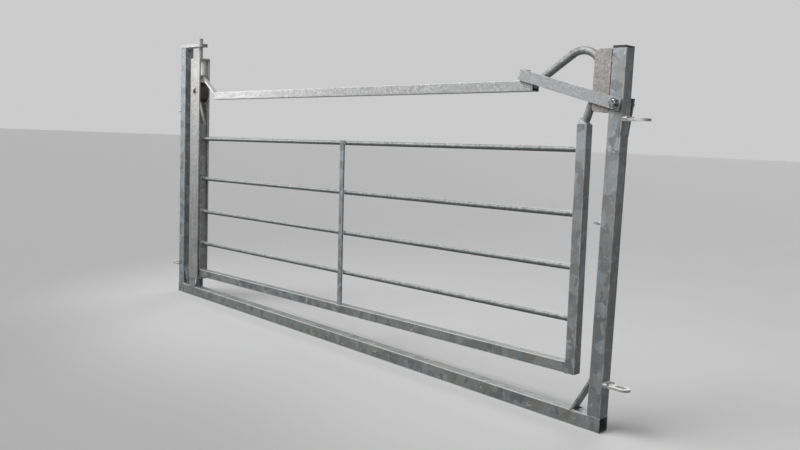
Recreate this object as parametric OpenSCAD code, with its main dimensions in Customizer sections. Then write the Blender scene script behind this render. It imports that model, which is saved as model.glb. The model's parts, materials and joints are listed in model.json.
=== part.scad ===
// Swing sliding gate for livestock yards, standing in its own ground frame.
//
// The leaf runs on one roller by a sloping ramp. The roller sits in a carrier
// that swings about two pins on the hinge side. At the far end a looped nose
// runs into a pocket between two guide plates, and a drop arm lies on the leaf.
//
// Millimetres. +Z is up, +X runs from the hinge post to the latch post and
// -Y is the front. X = 0 is the middle of the bottom rail, Z = 0 its underside.

/* [Ground frame] */
// Length of the bottom rail, end to end
frame_length = 2740; // [2200:10:3600]
// Height of the hinge post's top
frame_height = 1358; // [1130:1:1700]
// Outside size of the square box section in the frame
frame_box = 50; // [42:1:65]
// Wall of the frame's box section
frame_wall = 3; // [2:0.5:5]
// How far the latch post's top lies below the hinge post's top
latch_post_drop = 118; // [60:1:160]
// Height of the plastic cap above the latch post
cap_height = 8; // [3:0.5:14]
// Bevel round the cap's top edge
cap_bevel = 2; // [0.5:0.5:2.5]
// Depth of the cap's plug inside the post
cap_plug = 16; // [8:1:30]
// Wall of the cap's plug
cap_wall = 2; // [1:0.5:4]
// Diameter of the small round hole near the hinge post's top
vent_hole = 10; // [5:1:14]
// Distance of that hole below the post's top
vent_drop = 17; // [10:1:40]

/* [Corner braces] */
// Width of the brace flats, front to back
brace_width = 44; // [20:1:50]
// Thickness of the brace flats
brace_thick = 7; // [4:0.5:12]
// Height of the hinge side brace on its post
hinge_brace_rise = 111; // [60:1:200]
// Reach of the hinge side brace along the rail
hinge_brace_run = 58; // [35:1:62]
// Height of the latch side brace on its post
latch_brace_rise = 122; // [60:1:200]
// Reach of the latch side brace along the rail
latch_brace_run = 67; // [35:1:80]

/* [Link eyes] */
// Thickness of the link eye plates
eye_thick = 8; // [5:0.5:14]
// Width of the link eye plates, front to back
eye_width = 44; // [30:1:50]
// Reach of a link eye beyond its post
eye_reach = 85; // [60:1:120]
// Width of the slot in a link eye
slot_width = 17; // [10:0.5:22]
// Length of the slot in a link eye, end to end
slot_length = 38; // [24:1:50]
// Metal left between the slot and the eye's rounded end
slot_margin = 13; // [8:1:20]
// Height of the lower eyes on the hinge side, at mid thickness
eye_lower = 153; // [110:1:220]
// Drop of the upper eyes on the hinge side below the post's top
eye_upper_drop = 346; // [200:1:420]

/* [Pivots] */
// Distance of the swing axis from the hinge end of the frame
pivot_offset = 166; // [150:1:200]
// Diameter of the top pivot pin
pivot_pin_size = 25; // [16:1:32]
// Length of the top pivot pin standing above the pivot plate
pivot_pin_stand = 30; // [15:1:60]
// Thickness of the top pivot plate
pivot_plate_thick = 15; // [8:1:20]
// Metal of the pivot plate beyond the pin's axis
pivot_plate_end = 44; // [28:1:60]
// Corner radius of the pivot plate
pivot_plate_round = 18; // [6:1:24]
// Distance from the pivot plate down to the carrier's top
carrier_drop = 62; // [40:1:90]
// Length of the block under the carrier
block_length = 60; // [40:1:90]
// Metal of the block beyond the pin's axis
block_end = 12; // [11:1:40]
// Diameter of the bottom pivot pin
bottom_pin_size = 18; // [12:1:22]
// Length of the bottom pin standing above the block
bottom_pin_stand = 12; // [9:1:14]

/* [Carrier and roller] */
// Width of the two carrier flats
carrier_width = 90; // [70:1:100]
// Thickness of the carrier's flats and end plates
carrier_thick = 8; // [5:0.5:12]
// Thickness of the carrier's foot, on which the leaf's rail stands
carrier_foot_thick = 15.1; // [8:0.1:40]
// Clear space between the two carrier flats
carrier_gap = 48; // [46:0.5:60]
// Drop of the roller's axle below the hinge post's top
roller_drop = 238; // [200:1:280]
// Radius of the roller
roller_radius = 52; // [40:1:52]
// Width of the roller
roller_width = 43; // [30:1:44]
// Radius of the roller's hub
hub_radius = 20; // [14:1:26]
// Depth of the hollow in each side of the roller
web_hollow = 8; // [3:1:12]
// Height of the roller's outer tread band
tread_depth = 9; // [5:1:14]
// Diameter of the roller's axle
axle_size = 20; // [14:1:24]
// Depth of the axle's ends behind the carrier's outer faces
axle_recess = 4; // [1:0.5:5]
// Running clearance round a turning pin, each side
running_fit = 0.05; // [0.02:0.01:0.1]
// Small gap left between faces that move on each other
slip_gap = 0.3; // [0.2:0.05:0.5]

/* [Leaf] */
// Outside size of the leaf's square box section
leaf_box = 38; // [30:1:40]
// Wall of the leaf's box section
leaf_wall = 2.5; // [1.5:0.5:4]
// Lift of the leaf's free end, in degrees
leaf_tilt = 1.2; // [0:0.1:2]
// Drop of the stile tops below the roller's axle
stile_drop = 170; // [140:1:200]
// Distance from the axle back to the outer face of the hinge side stile
stile_back = 8.5; // [0:0.5:19]
// Diameter of the round bars
bar_size = 20; // [14:1:26]
// Wall of the round bars
bar_wall = 2; // [1:0.5:3]
// Height of the lowest bar as a share of the stile height
bar_share_1 = 0.22; // [0.1:0.01:0.35]
// Height of the second bar as a share of the stile height
bar_share_2 = 0.43; // [0.36:0.01:0.5]
// Height of the third bar as a share of the stile height
bar_share_3 = 0.644; // [0.55:0.01:0.7]
// Height of the top bar of the four as a share of the stile height
bar_share_4 = 0.902; // [0.8:0.01:0.95]
// Width of the middle strap
strap_width = 25; // [15:1:35]
// Thickness of the middle strap
strap_thick = 8; // [4:0.5:9]
// Distance of the middle strap from the hinge side stile as a share of the bars
strap_share = 0.5; // [0.3:0.01:0.7]

/* [Ramp and top bar] */
// Slope of the ramp over the roller, in degrees from the leaf's length
ramp_angle = 36; // [33:1:40]
// Gap between the roller and the ramp's underside with the gate closed
ramp_gap = 24; // [14:1:26]
// Width of the ramp's bar
ramp_width = 20; // [12:1:25]
// Thickness of the ramp's bar
ramp_thick = 12; // [8:1:16]
// Height of the ramp's level upper cut above the axle, as a share of the roller's radius
ramp_top_share = 1.558; // [1.5:0.01:1.7]
// Distance from the axle to the top bar's closed end
top_bar_start = 181; // [170:1:190]
// Height of the top bar's underside below the axle at its closed end
top_bar_drop = 45; // [42:1:60]
// Fall of the top bar against the leaf's length, in degrees
top_bar_fall = 0.36; // [0:0.02:0.6]
// Distance the top bar stops short of the latch side stile
top_bar_short = 184; // [150:1:210]
// Width of the strap that passes round the roller
throat_width = 25; // [15:1:40]
// Thickness of the strap that passes round the roller
throat_thick = 6; // [4:0.5:8]
// Gap between the roller and the strap
throat_gap = 3; // [2:0.5:8]
// Bend radius at the strap's top, on its middle line
throat_bend = 14; // [8:1:20]

/* [Nose and pocket] */
// Diameter of the nose tube
nose_size = 27; // [20:1:32]
// Wall of the nose tube
nose_wall = 2.5; // [1.5:0.5:4]
// Radius of the nose's bend on its middle line
nose_bend = 74; // [62:1:84]
// Climb of the nose tube where it leaves the top bar, in degrees
nose_climb = 32; // [25:1:40]
// Turn of the nose tube round its bend, in degrees
nose_turn = 141.5; // [136:0.5:148]
// Height of the bend's centre against the axle
nose_centre = -4; // [-12:1:8]
// Gap between the nose and the latch post
nose_gap = 34; // [20:1:45]
// Width of the weld bead round the nose tube's joint
bead_width = 4; // [2:0.5:6]
// Height of that bead above the tube
bead_height = 0.8; // [0.3:0.1:1.5]
// How far the nose tube's end sits inside the top bar
nose_sink = 12; // [6:1:13]
// Distance of the nose tube's foot from the latch side stile's middle line
nose_foot = 0; // [-5:1:5]
// Depth of the pocket, along the rail
pocket_depth = 62; // [40:1:75]
// Height of the guide plates
guide_height = 200; // [150:1:240]
// Thickness of the guide plates
guide_thick = 5; // [3:0.5:8]
// Corner radius of the guide plates
guide_round = 18; // [5:1:40]
// Step of the guide plates behind the faces of the latch post
guide_inset = 1; // [0.5:0.5:2]

/* [Drop arms] */
// Drop of the arm's bolt below the hinge post's top
latch_drop = 290; // [250:1:340]
// Width of the drop arms
arm_width = 38; // [25:1:45]
// Thickness of the drop arms
arm_thick = 8; // [5:0.5:10]
// Distance from the bolt to the inside of the bent tab
arm_reach = 385; // [340:1:420]
// Length of arm beyond the bolt
arm_tail = 21; // [14:1:30]
// Reach of the bent tab behind its arm
tab_reach = 48; // [35:1:54]
// Inside radius of the tab's bend
tab_bend = 4; // [2:0.5:8]
// Diameter of the arm bolt
bolt_size = 16; // [10:1:20]
// Diameter of the bolt's washers
washer_size = 36; // [28:1:40]
// Thickness of the washer between the front arm and the post
washer_thick = 4; // [2:0.5:6]
// Thickness of the outer washers
outer_washer = 3; // [2:0.5:4]
// Length of the spacer tube behind the post
spacer_length = 22; // [10:1:30]
// Outside diameter of the spacer tube
spacer_size = 27; // [22:1:34]

/* [Hidden] */

// Extra length that lets a cut pass right through
cut = 1;
// Number of flats that make up a bend in the throat strap
bend_steps = 16;
// Outer corner radius of a box section as a share of its wall
corner_share = 1.25;
// Bevel along the edges of rolled flats
edge_break = 0.8;
// Bevel round the top of the pivot pins
pin_bevel = 2;
// Corner radius of the cap's plug
plug_round = 2;
// Head sizes of bolts as shares of the bolt's diameter
hex_share = 1.5;
head_share = 0.62;
nut_share = 0.8;
thread_share = 0.35;
hex_sides = 6;
// Flat face left on a hex head inside its bevel, as a share of its width
crown_share = 0.95;
crown_slope = 60;
round_sides = 96;
nose_sides = 48;
half_turn = 180;
quarter_turn = 90;
galvanised = [0.66, 0.68, 0.69];
pale_galvanised = [0.74, 0.75, 0.76];
dark_galvanised = [0.55, 0.57, 0.59];
zinc_bright = [0.80, 0.79, 0.74];
plastic_black = [0.05, 0.05, 0.05];
nylon_brown = [0.12, 0.10, 0.09];

// ---- values that follow from the ones above
half_box = frame_box / 2;
latch_face = frame_length - frame_box;
latch_top = frame_height - latch_post_drop;
roller_height = frame_height - roller_drop;
latch_x = frame_length - half_box;
latch_height = frame_height - latch_drop;
carrier_top_z = frame_height - carrier_drop;
block_top = 2 * frame_box;
carrier_foot_z = block_top + slip_gap;
leaf_clear = carrier_foot_z + carrier_foot_thick + 2 * slip_gap;
carrier_half = carrier_gap / 2;
carrier_outer = carrier_half + carrier_thick;
half_leaf = leaf_box / 2;
eye_upper = frame_height - eye_upper_drop;

// leaf heights, measured from the roller's axle
stile_top = -stile_drop;
leaf_bottom = leaf_clear - roller_height;
leaf_floor = leaf_bottom + leaf_box;
stile_length = stile_top - leaf_bottom;

// nose: centre of its bend, start and end of the bend, and its foot
nose_radius = nose_size / 2;
nose_tip = (latch_face - nose_gap - pivot_offset) / cos(leaf_tilt);
nose_u = nose_tip - nose_bend - nose_radius;
nose_start = [nose_u - nose_bend * sin(nose_climb), nose_centre + nose_bend * cos(nose_climb)];
nose_fall = nose_turn - nose_climb;
nose_end = [nose_u + nose_bend * sin(nose_fall), nose_centre + nose_bend * cos(nose_fall)];
nose_leg = (nose_end[1] - stile_top) / sin(nose_fall);
nose_foot_u = nose_end[0] + nose_leg * cos(nose_fall);
stile_mid = nose_foot_u - nose_foot;
stile_near = stile_mid - half_leaf;
bar_start = leaf_box - stile_back;
bar_length = stile_near - bar_start;

// ramp: its underside touches a circle round the roller
ramp_top = ramp_top_share * roller_radius;
ramp_round = roller_radius + ramp_gap;
ramp_tan = tan(ramp_angle);
ramp_under_0 = ramp_round / cos(ramp_angle);
ramp_over_0 = (ramp_round + ramp_thick) / cos(ramp_angle);
top_over_0 = leaf_box / cos(top_bar_fall) - top_bar_drop + top_bar_start * tan(top_bar_fall);
top_end = stile_near - top_bar_short;

// length of the nose tube's slope, down to its end inside the top bar
nose_rise = (nose_start[0] - top_end + nose_sink) / cos(nose_climb);

// throat strap: middle line round the roller
throat_round = roller_radius + throat_gap + throat_thick / 2;
throat_foot = half_leaf - stile_back;
throat_far = sqrt(throat_foot * throat_foot + stile_drop * stile_drop);
throat_lean = asin(throat_round / throat_far) + atan(throat_foot / stile_drop);
throat_rise = ramp_top + throat_thick / 2 - throat_bend;
throat_end = (ramp_over_0 - ramp_top) / ramp_tan;

// drop arm: angle at which its tab rests on the top bar
arm_half = arm_width / 2;
arm_swing = sqrt(arm_reach * arm_reach + arm_half * arm_half);
arm_slant = atan(arm_half / arm_reach);
bar_slope = leaf_tilt - top_bar_fall;
over_x = pivot_offset - top_over_0 * sin(leaf_tilt);
over_z = roller_height + top_over_0 * cos(leaf_tilt);
function bar_top_at(x) = over_z + (x - over_x) * tan(bar_slope);
function arm_angle(x) = asin((bar_top_at(x) + slip_gap - latch_height) / arm_swing) + arm_slant;
arm_guess = arm_angle(latch_x - arm_reach);
arm_rest = arm_angle(latch_x - arm_swing * cos(arm_guess - arm_slant));
back_lean = asin((half_box + slip_gap) / arm_swing) + arm_slant;

// faces along the arm bolt, front to back
arm_back_y = -half_box - washer_thick - slip_gap;
arm_front_y = arm_back_y - arm_thick;
head_washer_y = arm_front_y - slip_gap - outer_washer;
back_arm_y = half_box + spacer_length;
nut_washer_y = back_arm_y + arm_thick;
nut_y = nut_washer_y + outer_washer;

// ---- helpers
module slab(from, to)
{
    translate(from)
    cube(to - from);
}

module on_frame()
{
    translate([-frame_length / 2, 0, 0])
    children();
}

module on_leaf()
{
    on_frame()
    translate([pivot_offset, 0, roller_height])
    rotate([0, -leaf_tilt, 0])
    children();
}

// Extrude a drawing of (x, z) points to both sides of the middle plane
module front_view(depth)
{
    translate([0, depth / 2, 0])
    rotate([quarter_turn, 0, 0])
    linear_extrude(height = depth)
    children();
}

// Round stock along Y, from one face to another
module round_y(radius, from_y, to_y)
{
    translate([0, from_y, 0])
    rotate([-quarter_turn, 0, 0])
    cylinder(r = radius, h = to_y - from_y, $fn = round_sides);
}

// Hex head or nut standing on a face, bevelled round its outer end
module hex_y(bolt, face_y, height, turn)
{
    across = bolt * hex_share;
    crown = across * crown_share;
    translate([0, face_y, 0])
    rotate([turn, 0, 0])
    intersection() {
        cylinder(d = across / cos(half_turn / hex_sides), h = height, $fn = hex_sides);
        cylinder(d1 = crown + 2 * height * tan(crown_slope), d2 = crown, h = height, $fn = round_sides);
    }
}

// Square with rounded corners, about its middle
module round_square(size, radius)
{
    flat = size - 2 * radius;
    union() {
        square([size, flat], center = true);
        square([flat, size], center = true);
        for (x = [-flat / 2, flat / 2], y = [-flat / 2, flat / 2])
        translate([x, y])
        circle(r = radius, $fn = round_sides);
    }
}

// Solid stock with a box section's outside, standing along +Z
module box_outside(size, wall, length)
{
    linear_extrude(height = length)
    round_square(size, wall * corner_share);
}

module box_inside(size, wall, length)
{
    linear_extrude(height = length)
    round_square(size - 2 * wall, wall * (corner_share - 1));
}

module box_tube(size, wall, length)
{
    difference() {
        box_outside(size, wall, length);
        translate([0, 0, -cut])
        box_inside(size, wall, length + 2 * cut);
    }
}

module upright_box(x0, z0, z1, size, wall, top_closed)
{
    roof = top_closed ? wall : -cut;
    translate([x0 + size / 2, 0, z0])
    difference() {
        box_outside(size, wall, z1 - z0);
        translate([0, 0, -cut])
        box_inside(size, wall, z1 - z0 - roof + cut);
    }
}

module level_box(x0, x1, z0, size, wall)
{
    translate([x0, 0, z0 + size / 2])
    rotate([0, quarter_turn, 0])
    box_tube(size, wall, x1 - x0);
}

// Outline of a rolled flat with its edges broken, about its middle
module flat_outline(width, thick)
{
    x = width / 2;
    y = thick / 2;
    polygon([
        [edge_break - x, -y], [x - edge_break, -y], [x, edge_break - y], [x, y - edge_break],
        [x - edge_break, y], [edge_break - x, y], [-x, y - edge_break], [-x, edge_break - y]
    ]);
}

// Round pin along +Z with a bevelled top
module bevelled_pin(size, length)
{
    union() {
        cylinder(d = size, h = length - pin_bevel, $fn = round_sides);
        translate([0, 0, length - pin_bevel])
        cylinder(d1 = size, d2 = size - 2 * pin_bevel, h = pin_bevel, $fn = round_sides);
    }
}

// Diagonal flat in the corner between a post's face and the rail's top
module brace(run, rise)
{
    slant = sqrt(run * run + rise * rise);
    low = run - brace_thick * slant / rise;
    high = rise - brace_thick * slant / run;
    front_view(brace_width)
    polygon([[0, rise], [run, 0], [low, 0], [0, high]]);
}

// Level plate with a rounded end and a slot, reaching along +X from x = 0
module link_eye()
{
    radius = eye_width / 2;
    round_x = eye_reach - radius;
    slot_r = slot_width / 2;
    slot_far = eye_reach - slot_margin - slot_r;
    slot_near = slot_far - slot_length + slot_width;
    floor_z = -eye_thick / 2;
    difference() {
        union() {
            slab([0, -radius, floor_z], [round_x, radius, floor_z + eye_thick]);
            translate([round_x, 0, floor_z])
            cylinder(r = radius, h = eye_thick, $fn = round_sides);
        }
        translate([slot_near, 0, floor_z - cut])
        cylinder(r = slot_r, h = eye_thick + 2 * cut, $fn = round_sides);
        translate([slot_far, 0, floor_z - cut])
        cylinder(r = slot_r, h = eye_thick + 2 * cut, $fn = round_sides);
        slab([slot_near, -slot_r, floor_z - cut], [slot_far, slot_r, floor_z + eye_thick + cut]);
    }
}

module arm_outline()
{
    rotate([0, 0, quarter_turn])
    flat_outline(arm_width, arm_thick);
}

// Flat with one end bent at a right angle; the bolt is at the origin, the
// flat runs along -X and its back face lies at y = 0
module bent_arm()
{
    bend_x = tab_bend - arm_reach;
    difference() {
        union() {
            translate([bend_x, -arm_thick / 2, 0])
            rotate([quarter_turn, 0, quarter_turn])
            linear_extrude(height = arm_tail - bend_x)
            arm_outline();
            translate([bend_x, tab_bend, 0])
            rotate([0, 0, half_turn])
            rotate_extrude(angle = quarter_turn, $fn = round_sides)
            translate([tab_bend + arm_thick / 2, 0])
            arm_outline();
            translate([-arm_reach - arm_thick / 2, tab_reach, 0])
            rotate([quarter_turn, 0, 0])
            linear_extrude(height = tab_reach - tab_bend)
            arm_outline();
        }
        round_y(bolt_size / 2 + running_fit, -arm_thick - cut, cut);
    }
}

// Guide plate between the post's face and its rounded free corners
module guide_plate(y0)
{
    near = latch_face - pocket_depth;
    low = latch_top - guide_height;
    translate([0, y0, 0])
    rotate([quarter_turn, 0, 0])
    translate([0, 0, -guide_thick])
    linear_extrude(height = guide_thick)
    union() {
        translate([near + guide_round, low])
        square([pocket_depth - guide_round, guide_height]);
        translate([near, low + guide_round])
        square([guide_round + cut, guide_height - 2 * guide_round]);
        translate([near + guide_round, low + guide_round])
        circle(r = guide_round, $fn = round_sides);
        translate([near + guide_round, latch_top - guide_round])
        circle(r = guide_round, $fn = round_sides);
    }
}

module leaf_bar(share)
{
    height = leaf_bottom + share * stile_length;
    on_leaf()
    translate([bar_start, 0, height])
    rotate([0, quarter_turn, 0])
    difference() {
        cylinder(d = bar_size, h = bar_length, $fn = round_sides);
        translate([0, 0, -cut])
        cylinder(d = bar_size - 2 * bar_wall, h = bar_length + 2 * cut, $fn = round_sides);
    }
}

// ---- ground frame
module bottom_rail()
{
    color(galvanised)
    on_frame()
    level_box(0, frame_length, 0, frame_box, frame_wall);
}

module hinge_post()
{
    color(galvanised)
    on_frame()
    difference() {
        upright_box(0, frame_box, frame_height, frame_box, frame_wall, false);
        translate([frame_box - frame_wall - cut, 0, frame_height - vent_drop])
        rotate([0, quarter_turn, 0])
        cylinder(d = vent_hole, h = frame_wall + 2 * cut, $fn = round_sides);
    }
}

module latch_post()
{
    color(galvanised)
    on_frame()
    difference() {
        upright_box(latch_face, frame_box, latch_top, frame_box, frame_wall, false);
        translate([latch_x, 0, latch_height])
        round_y(bolt_size / 2 + running_fit, -frame_box, frame_box);
    }
}

module post_cap()
{
    inset = frame_wall + running_fit;
    plug = frame_box - 2 * inset;
    side = half_box - cap_bevel;
    low = cap_height - cap_bevel;
    color(plastic_black)
    on_frame()
    translate([latch_x, 0, latch_top])
    union() {
        intersection() {
            box_outside(frame_box, frame_wall, cap_height);
            front_view(frame_box)
            polygon([
                [-half_box, 0], [half_box, 0], [half_box, low],
                [side, cap_height], [-side, cap_height], [-half_box, low]
            ]);
            rotate([0, 0, quarter_turn])
            front_view(frame_box)
            polygon([
                [-half_box, 0], [half_box, 0], [half_box, low],
                [side, cap_height], [-side, cap_height], [-half_box, low]
            ]);
        }
        translate([0, 0, -cap_plug])
        difference() {
            linear_extrude(height = cap_plug)
            round_square(plug, plug_round);
            translate([0, 0, -cut])
            linear_extrude(height = cap_plug + cut)
            square(plug - 2 * cap_wall, center = true);
        }
    }
}

module hinge_brace()
{
    color(galvanised)
    on_frame()
    translate([frame_box, 0, frame_box])
    brace(hinge_brace_run, hinge_brace_rise);
}

module latch_brace()
{
    color(galvanised)
    on_frame()
    translate([latch_face, 0, frame_box])
    mirror([1, 0, 0])
    brace(latch_brace_run, latch_brace_rise);
}

module pivot_plate()
{
    far = pivot_offset + pivot_plate_end;
    inset = half_box - pivot_plate_round;
    color(galvanised)
    on_frame()
    translate([0, 0, frame_height])
    difference() {
        union() {
            slab([0, -half_box, 0], [far - pivot_plate_round, half_box, pivot_plate_thick]);
            slab([0, -inset, 0], [far, inset, pivot_plate_thick]);
            translate([far - pivot_plate_round, inset, 0])
            cylinder(r = pivot_plate_round, h = pivot_plate_thick, $fn = round_sides);
            translate([far - pivot_plate_round, -inset, 0])
            cylinder(r = pivot_plate_round, h = pivot_plate_thick, $fn = round_sides);
        }
        translate([pivot_offset, 0, -cut])
        cylinder(d = pivot_pin_size + 2 * running_fit, h = pivot_plate_thick + 2 * cut, $fn = round_sides);
    }
}

module pivot_block()
{
    far = pivot_offset + block_end;
    color(galvanised)
    on_frame()
    difference() {
        level_box(far - block_length, far, frame_box, frame_box, frame_wall);
        translate([pivot_offset, 0, block_top - frame_wall - cut])
        cylinder(d = bottom_pin_size + 2 * running_fit, h = frame_wall + 2 * cut, $fn = round_sides);
    }
}

module bottom_pin()
{
    low = frame_box + frame_wall;
    color(dark_galvanised)
    on_frame()
    translate([pivot_offset, 0, low])
    bevelled_pin(bottom_pin_size, block_top + bottom_pin_stand - low);
}

module guide_plate_front()
{
    color(galvanised)
    on_frame()
    guide_plate(guide_inset - half_box);
}

module guide_plate_back()
{
    color(galvanised)
    on_frame()
    guide_plate(half_box - guide_thick - guide_inset);
}

module eye_hinge_upper()
{
    color(galvanised)
    on_frame()
    translate([0, 0, eye_upper])
    mirror([1, 0, 0])
    link_eye();
}

module eye_hinge_lower()
{
    color(galvanised)
    on_frame()
    translate([0, 0, eye_lower])
    mirror([1, 0, 0])
    link_eye();
}

module eye_latch_upper()
{
    color(galvanised)
    on_frame()
    translate([frame_length, 0, eye_upper + eye_thick])
    link_eye();
}

module eye_latch_lower()
{
    color(galvanised)
    on_frame()
    translate([frame_length, 0, eye_lower + eye_thick])
    link_eye();
}

module latch_bolt()
{
    head = bolt_size * head_share;
    tail = nut_y + bolt_size * (nut_share + thread_share);
    color(zinc_bright)
    on_frame()
    translate([latch_x, 0, latch_height])
    union() {
        round_y(bolt_size / 2, head_washer_y, tail);
        round_y(washer_size / 2, head_washer_y, head_washer_y + outer_washer);
        hex_y(bolt_size, head_washer_y, head, quarter_turn);
    }
}

module latch_nut()
{
    inner = bolt_size / 2 + running_fit;
    color(zinc_bright)
    on_frame()
    translate([latch_x, 0, latch_height])
    difference() {
        union() {
            round_y(washer_size / 2, nut_washer_y, nut_y);
            hex_y(bolt_size, nut_y, bolt_size * nut_share, -quarter_turn);
        }
        round_y(inner, nut_washer_y - cut, nut_y + bolt_size);
    }
}

module latch_washer()
{
    color(zinc_bright)
    on_frame()
    translate([latch_x, 0, latch_height])
    difference() {
        round_y(washer_size / 2, -half_box - washer_thick, -half_box);
        round_y(bolt_size / 2 + running_fit, -half_box - washer_thick - cut, cut - half_box);
    }
}

module latch_spacer()
{
    color(galvanised)
    on_frame()
    translate([latch_x, 0, latch_height])
    difference() {
        round_y(spacer_size / 2, half_box, back_arm_y);
        round_y(bolt_size / 2 + running_fit, half_box - cut, back_arm_y + cut);
    }
}

module back_arm()
{
    color(galvanised)
    on_frame()
    translate([latch_x, back_arm_y, latch_height])
    rotate([0, back_lean - quarter_turn, 0])
    mirror([0, 1, 0])
    bent_arm();
}

// ---- carrier
module carrier_flat(y0)
{
    on_frame()
    difference() {
        translate([pivot_offset, y0 + carrier_thick / 2, carrier_foot_z])
        linear_extrude(height = carrier_top_z - carrier_foot_z)
        flat_outline(carrier_width, carrier_thick);
        translate([pivot_offset, 0, roller_height])
        round_y(axle_size / 2 + running_fit, y0 - cut, y0 + carrier_thick + cut);
    }
}

module carrier_flat_front()
{
    color(pale_galvanised)
    carrier_flat(-carrier_outer);
}

module carrier_flat_back()
{
    color(pale_galvanised)
    carrier_flat(carrier_half);
}

module carrier_end(low, thick, bore)
{
    near = pivot_offset - carrier_width / 2;
    far = near + carrier_width;
    on_frame()
    difference() {
        slab([near, -carrier_half, low], [far, carrier_half, low + thick]);
        translate([pivot_offset, 0, low - cut])
        cylinder(d = bore + 2 * running_fit, h = thick + 2 * cut, $fn = round_sides);
    }
}

module carrier_top()
{
    color(pale_galvanised)
    carrier_end(carrier_top_z - carrier_thick, carrier_thick, pivot_pin_size);
}

module carrier_foot()
{
    color(pale_galvanised)
    carrier_end(carrier_foot_z, carrier_foot_thick, bottom_pin_size);
}

module pivot_pin()
{
    low = carrier_top_z - carrier_thick;
    high = frame_height + pivot_plate_thick + pivot_pin_stand;
    color(pale_galvanised)
    on_frame()
    translate([pivot_offset, 0, low])
    bevelled_pin(pivot_pin_size, high - low);
}

// The axle's ends sit a little way down in the flats, where they are welded
module roller_axle()
{
    reach = carrier_outer - axle_recess;
    color(zinc_bright)
    on_frame()
    translate([pivot_offset, 0, roller_height])
    round_y(axle_size / 2, -reach, reach);
}

module roller()
{
    half = roller_width / 2;
    bore = axle_size / 2 + running_fit;
    rim = roller_radius - tread_depth;
    web = half - web_hollow;
    edge = roller_radius - cut;
    color(nylon_brown)
    on_frame()
    translate([pivot_offset, 0, roller_height])
    rotate([-quarter_turn, 0, 0])
    rotate_extrude($fn = round_sides)
    polygon([
        [bore, -half], [hub_radius, -half], [hub_radius, -web], [rim, -web],
        [rim, -half], [edge, -half], [roller_radius, cut - half],
        [roller_radius, half - cut], [edge, half], [rim, half],
        [rim, web], [hub_radius, web], [hub_radius, half], [bore, half]
    ]);
}

// ---- leaf
module left_stile()
{
    color(pale_galvanised)
    on_leaf()
    upright_box(-stile_back, leaf_floor, stile_top, leaf_box, leaf_wall, true);
}

module right_stile()
{
    color(pale_galvanised)
    on_leaf()
    upright_box(stile_near, leaf_bottom, stile_top, leaf_box, leaf_wall, true);
}

module leaf_rail()
{
    color(pale_galvanised)
    on_leaf()
    level_box(-stile_back, stile_near, leaf_bottom, leaf_box, leaf_wall);
}

module bar_1()
{
    color(pale_galvanised)
    leaf_bar(bar_share_1);
}

module bar_2()
{
    color(pale_galvanised)
    leaf_bar(bar_share_2);
}

module bar_3()
{
    color(pale_galvanised)
    leaf_bar(bar_share_3);
}

module bar_4()
{
    color(pale_galvanised)
    leaf_bar(bar_share_4);
}

module mid_strap()
{
    left = bar_start + strap_share * bar_length - strap_width / 2;
    front = -bar_size / 2 - strap_thick;
    high = leaf_bottom + bar_share_4 * stile_length + bar_size / 2;
    color(pale_galvanised)
    on_leaf()
    translate([left + strap_width / 2, front + strap_thick / 2, leaf_floor])
    linear_extrude(height = high - leaf_floor)
    flat_outline(strap_width, strap_thick);
}

// The top bar between its upright closed end and its open end
module top_bar_walls()
{
    spare = 2 * leaf_box;
    length = top_end - top_bar_start + spare;
    intersection() {
        front_view(spare)
        polygon([
            [top_bar_start, -spare], [top_end, -spare], [top_end, spare], [top_bar_start, spare]
        ]);
        translate([top_bar_start, 0, -top_bar_drop])
        rotate([0, quarter_turn + top_bar_fall, 0])
        translate([-half_leaf, 0, -half_leaf])
        difference() {
            box_outside(leaf_box, leaf_wall, length);
            translate([0, 0, half_leaf + leaf_wall])
            box_inside(leaf_box, leaf_wall, length);
        }
    }
}

module top_bar()
{
    color(pale_galvanised)
    on_leaf()
    top_bar_walls();
}

module ramp()
{
    under_end = ramp_under_0 - top_bar_start * ramp_tan;
    over_end = ramp_over_0 - top_bar_start * ramp_tan;
    color(pale_galvanised)
    on_leaf()
    front_view(ramp_width)
    polygon([
        [(ramp_under_0 - ramp_top) / ramp_tan, ramp_top], [top_bar_start, under_end],
        [top_bar_start, over_end], [throat_end, ramp_top]
    ]);
}

// One side of the strap's edge view, at a radius from each bend's centre
function strap_foot(r) = [
    -r * cos(throat_lean) - (r * sin(throat_lean) + stile_top) * tan(throat_lean),
    stile_top
];
function strap_side(r, top_r) = concat(
    [strap_foot(r)],
    [for (i = [0 : bend_steps])
        let (a = half_turn + throat_lean * (1 - i / bend_steps))
        [r * cos(a), r * sin(a)]],
    [for (i = [0 : bend_steps])
        let (a = half_turn - quarter_turn * i / bend_steps)
        [throat_bend - throat_round + top_r * cos(a), throat_rise + top_r * sin(a)]],
    [[throat_end, throat_rise + top_r]]
);
function backwards(points) = [for (i = [len(points) - 1 : -1 : 0]) points[i]];

module throat_strap()
{
    half = throat_thick / 2;
    outside = strap_side(throat_round + half, throat_bend + half);
    inside = strap_side(throat_round - half, throat_bend - half);
    color(pale_galvanised)
    on_leaf()
    front_view(throat_width)
    polygon(concat(outside, backwards(inside)));
}

// Bend of the nose about the Y axis, from the +X axis towards +Z
module nose_round(radius, angle)
{
    rotate([quarter_turn, 0, 0])
    rotate_extrude(angle = angle, $fn = nose_sides)
    translate([nose_bend, 0])
    circle(r = radius, $fn = nose_sides);
}

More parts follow.
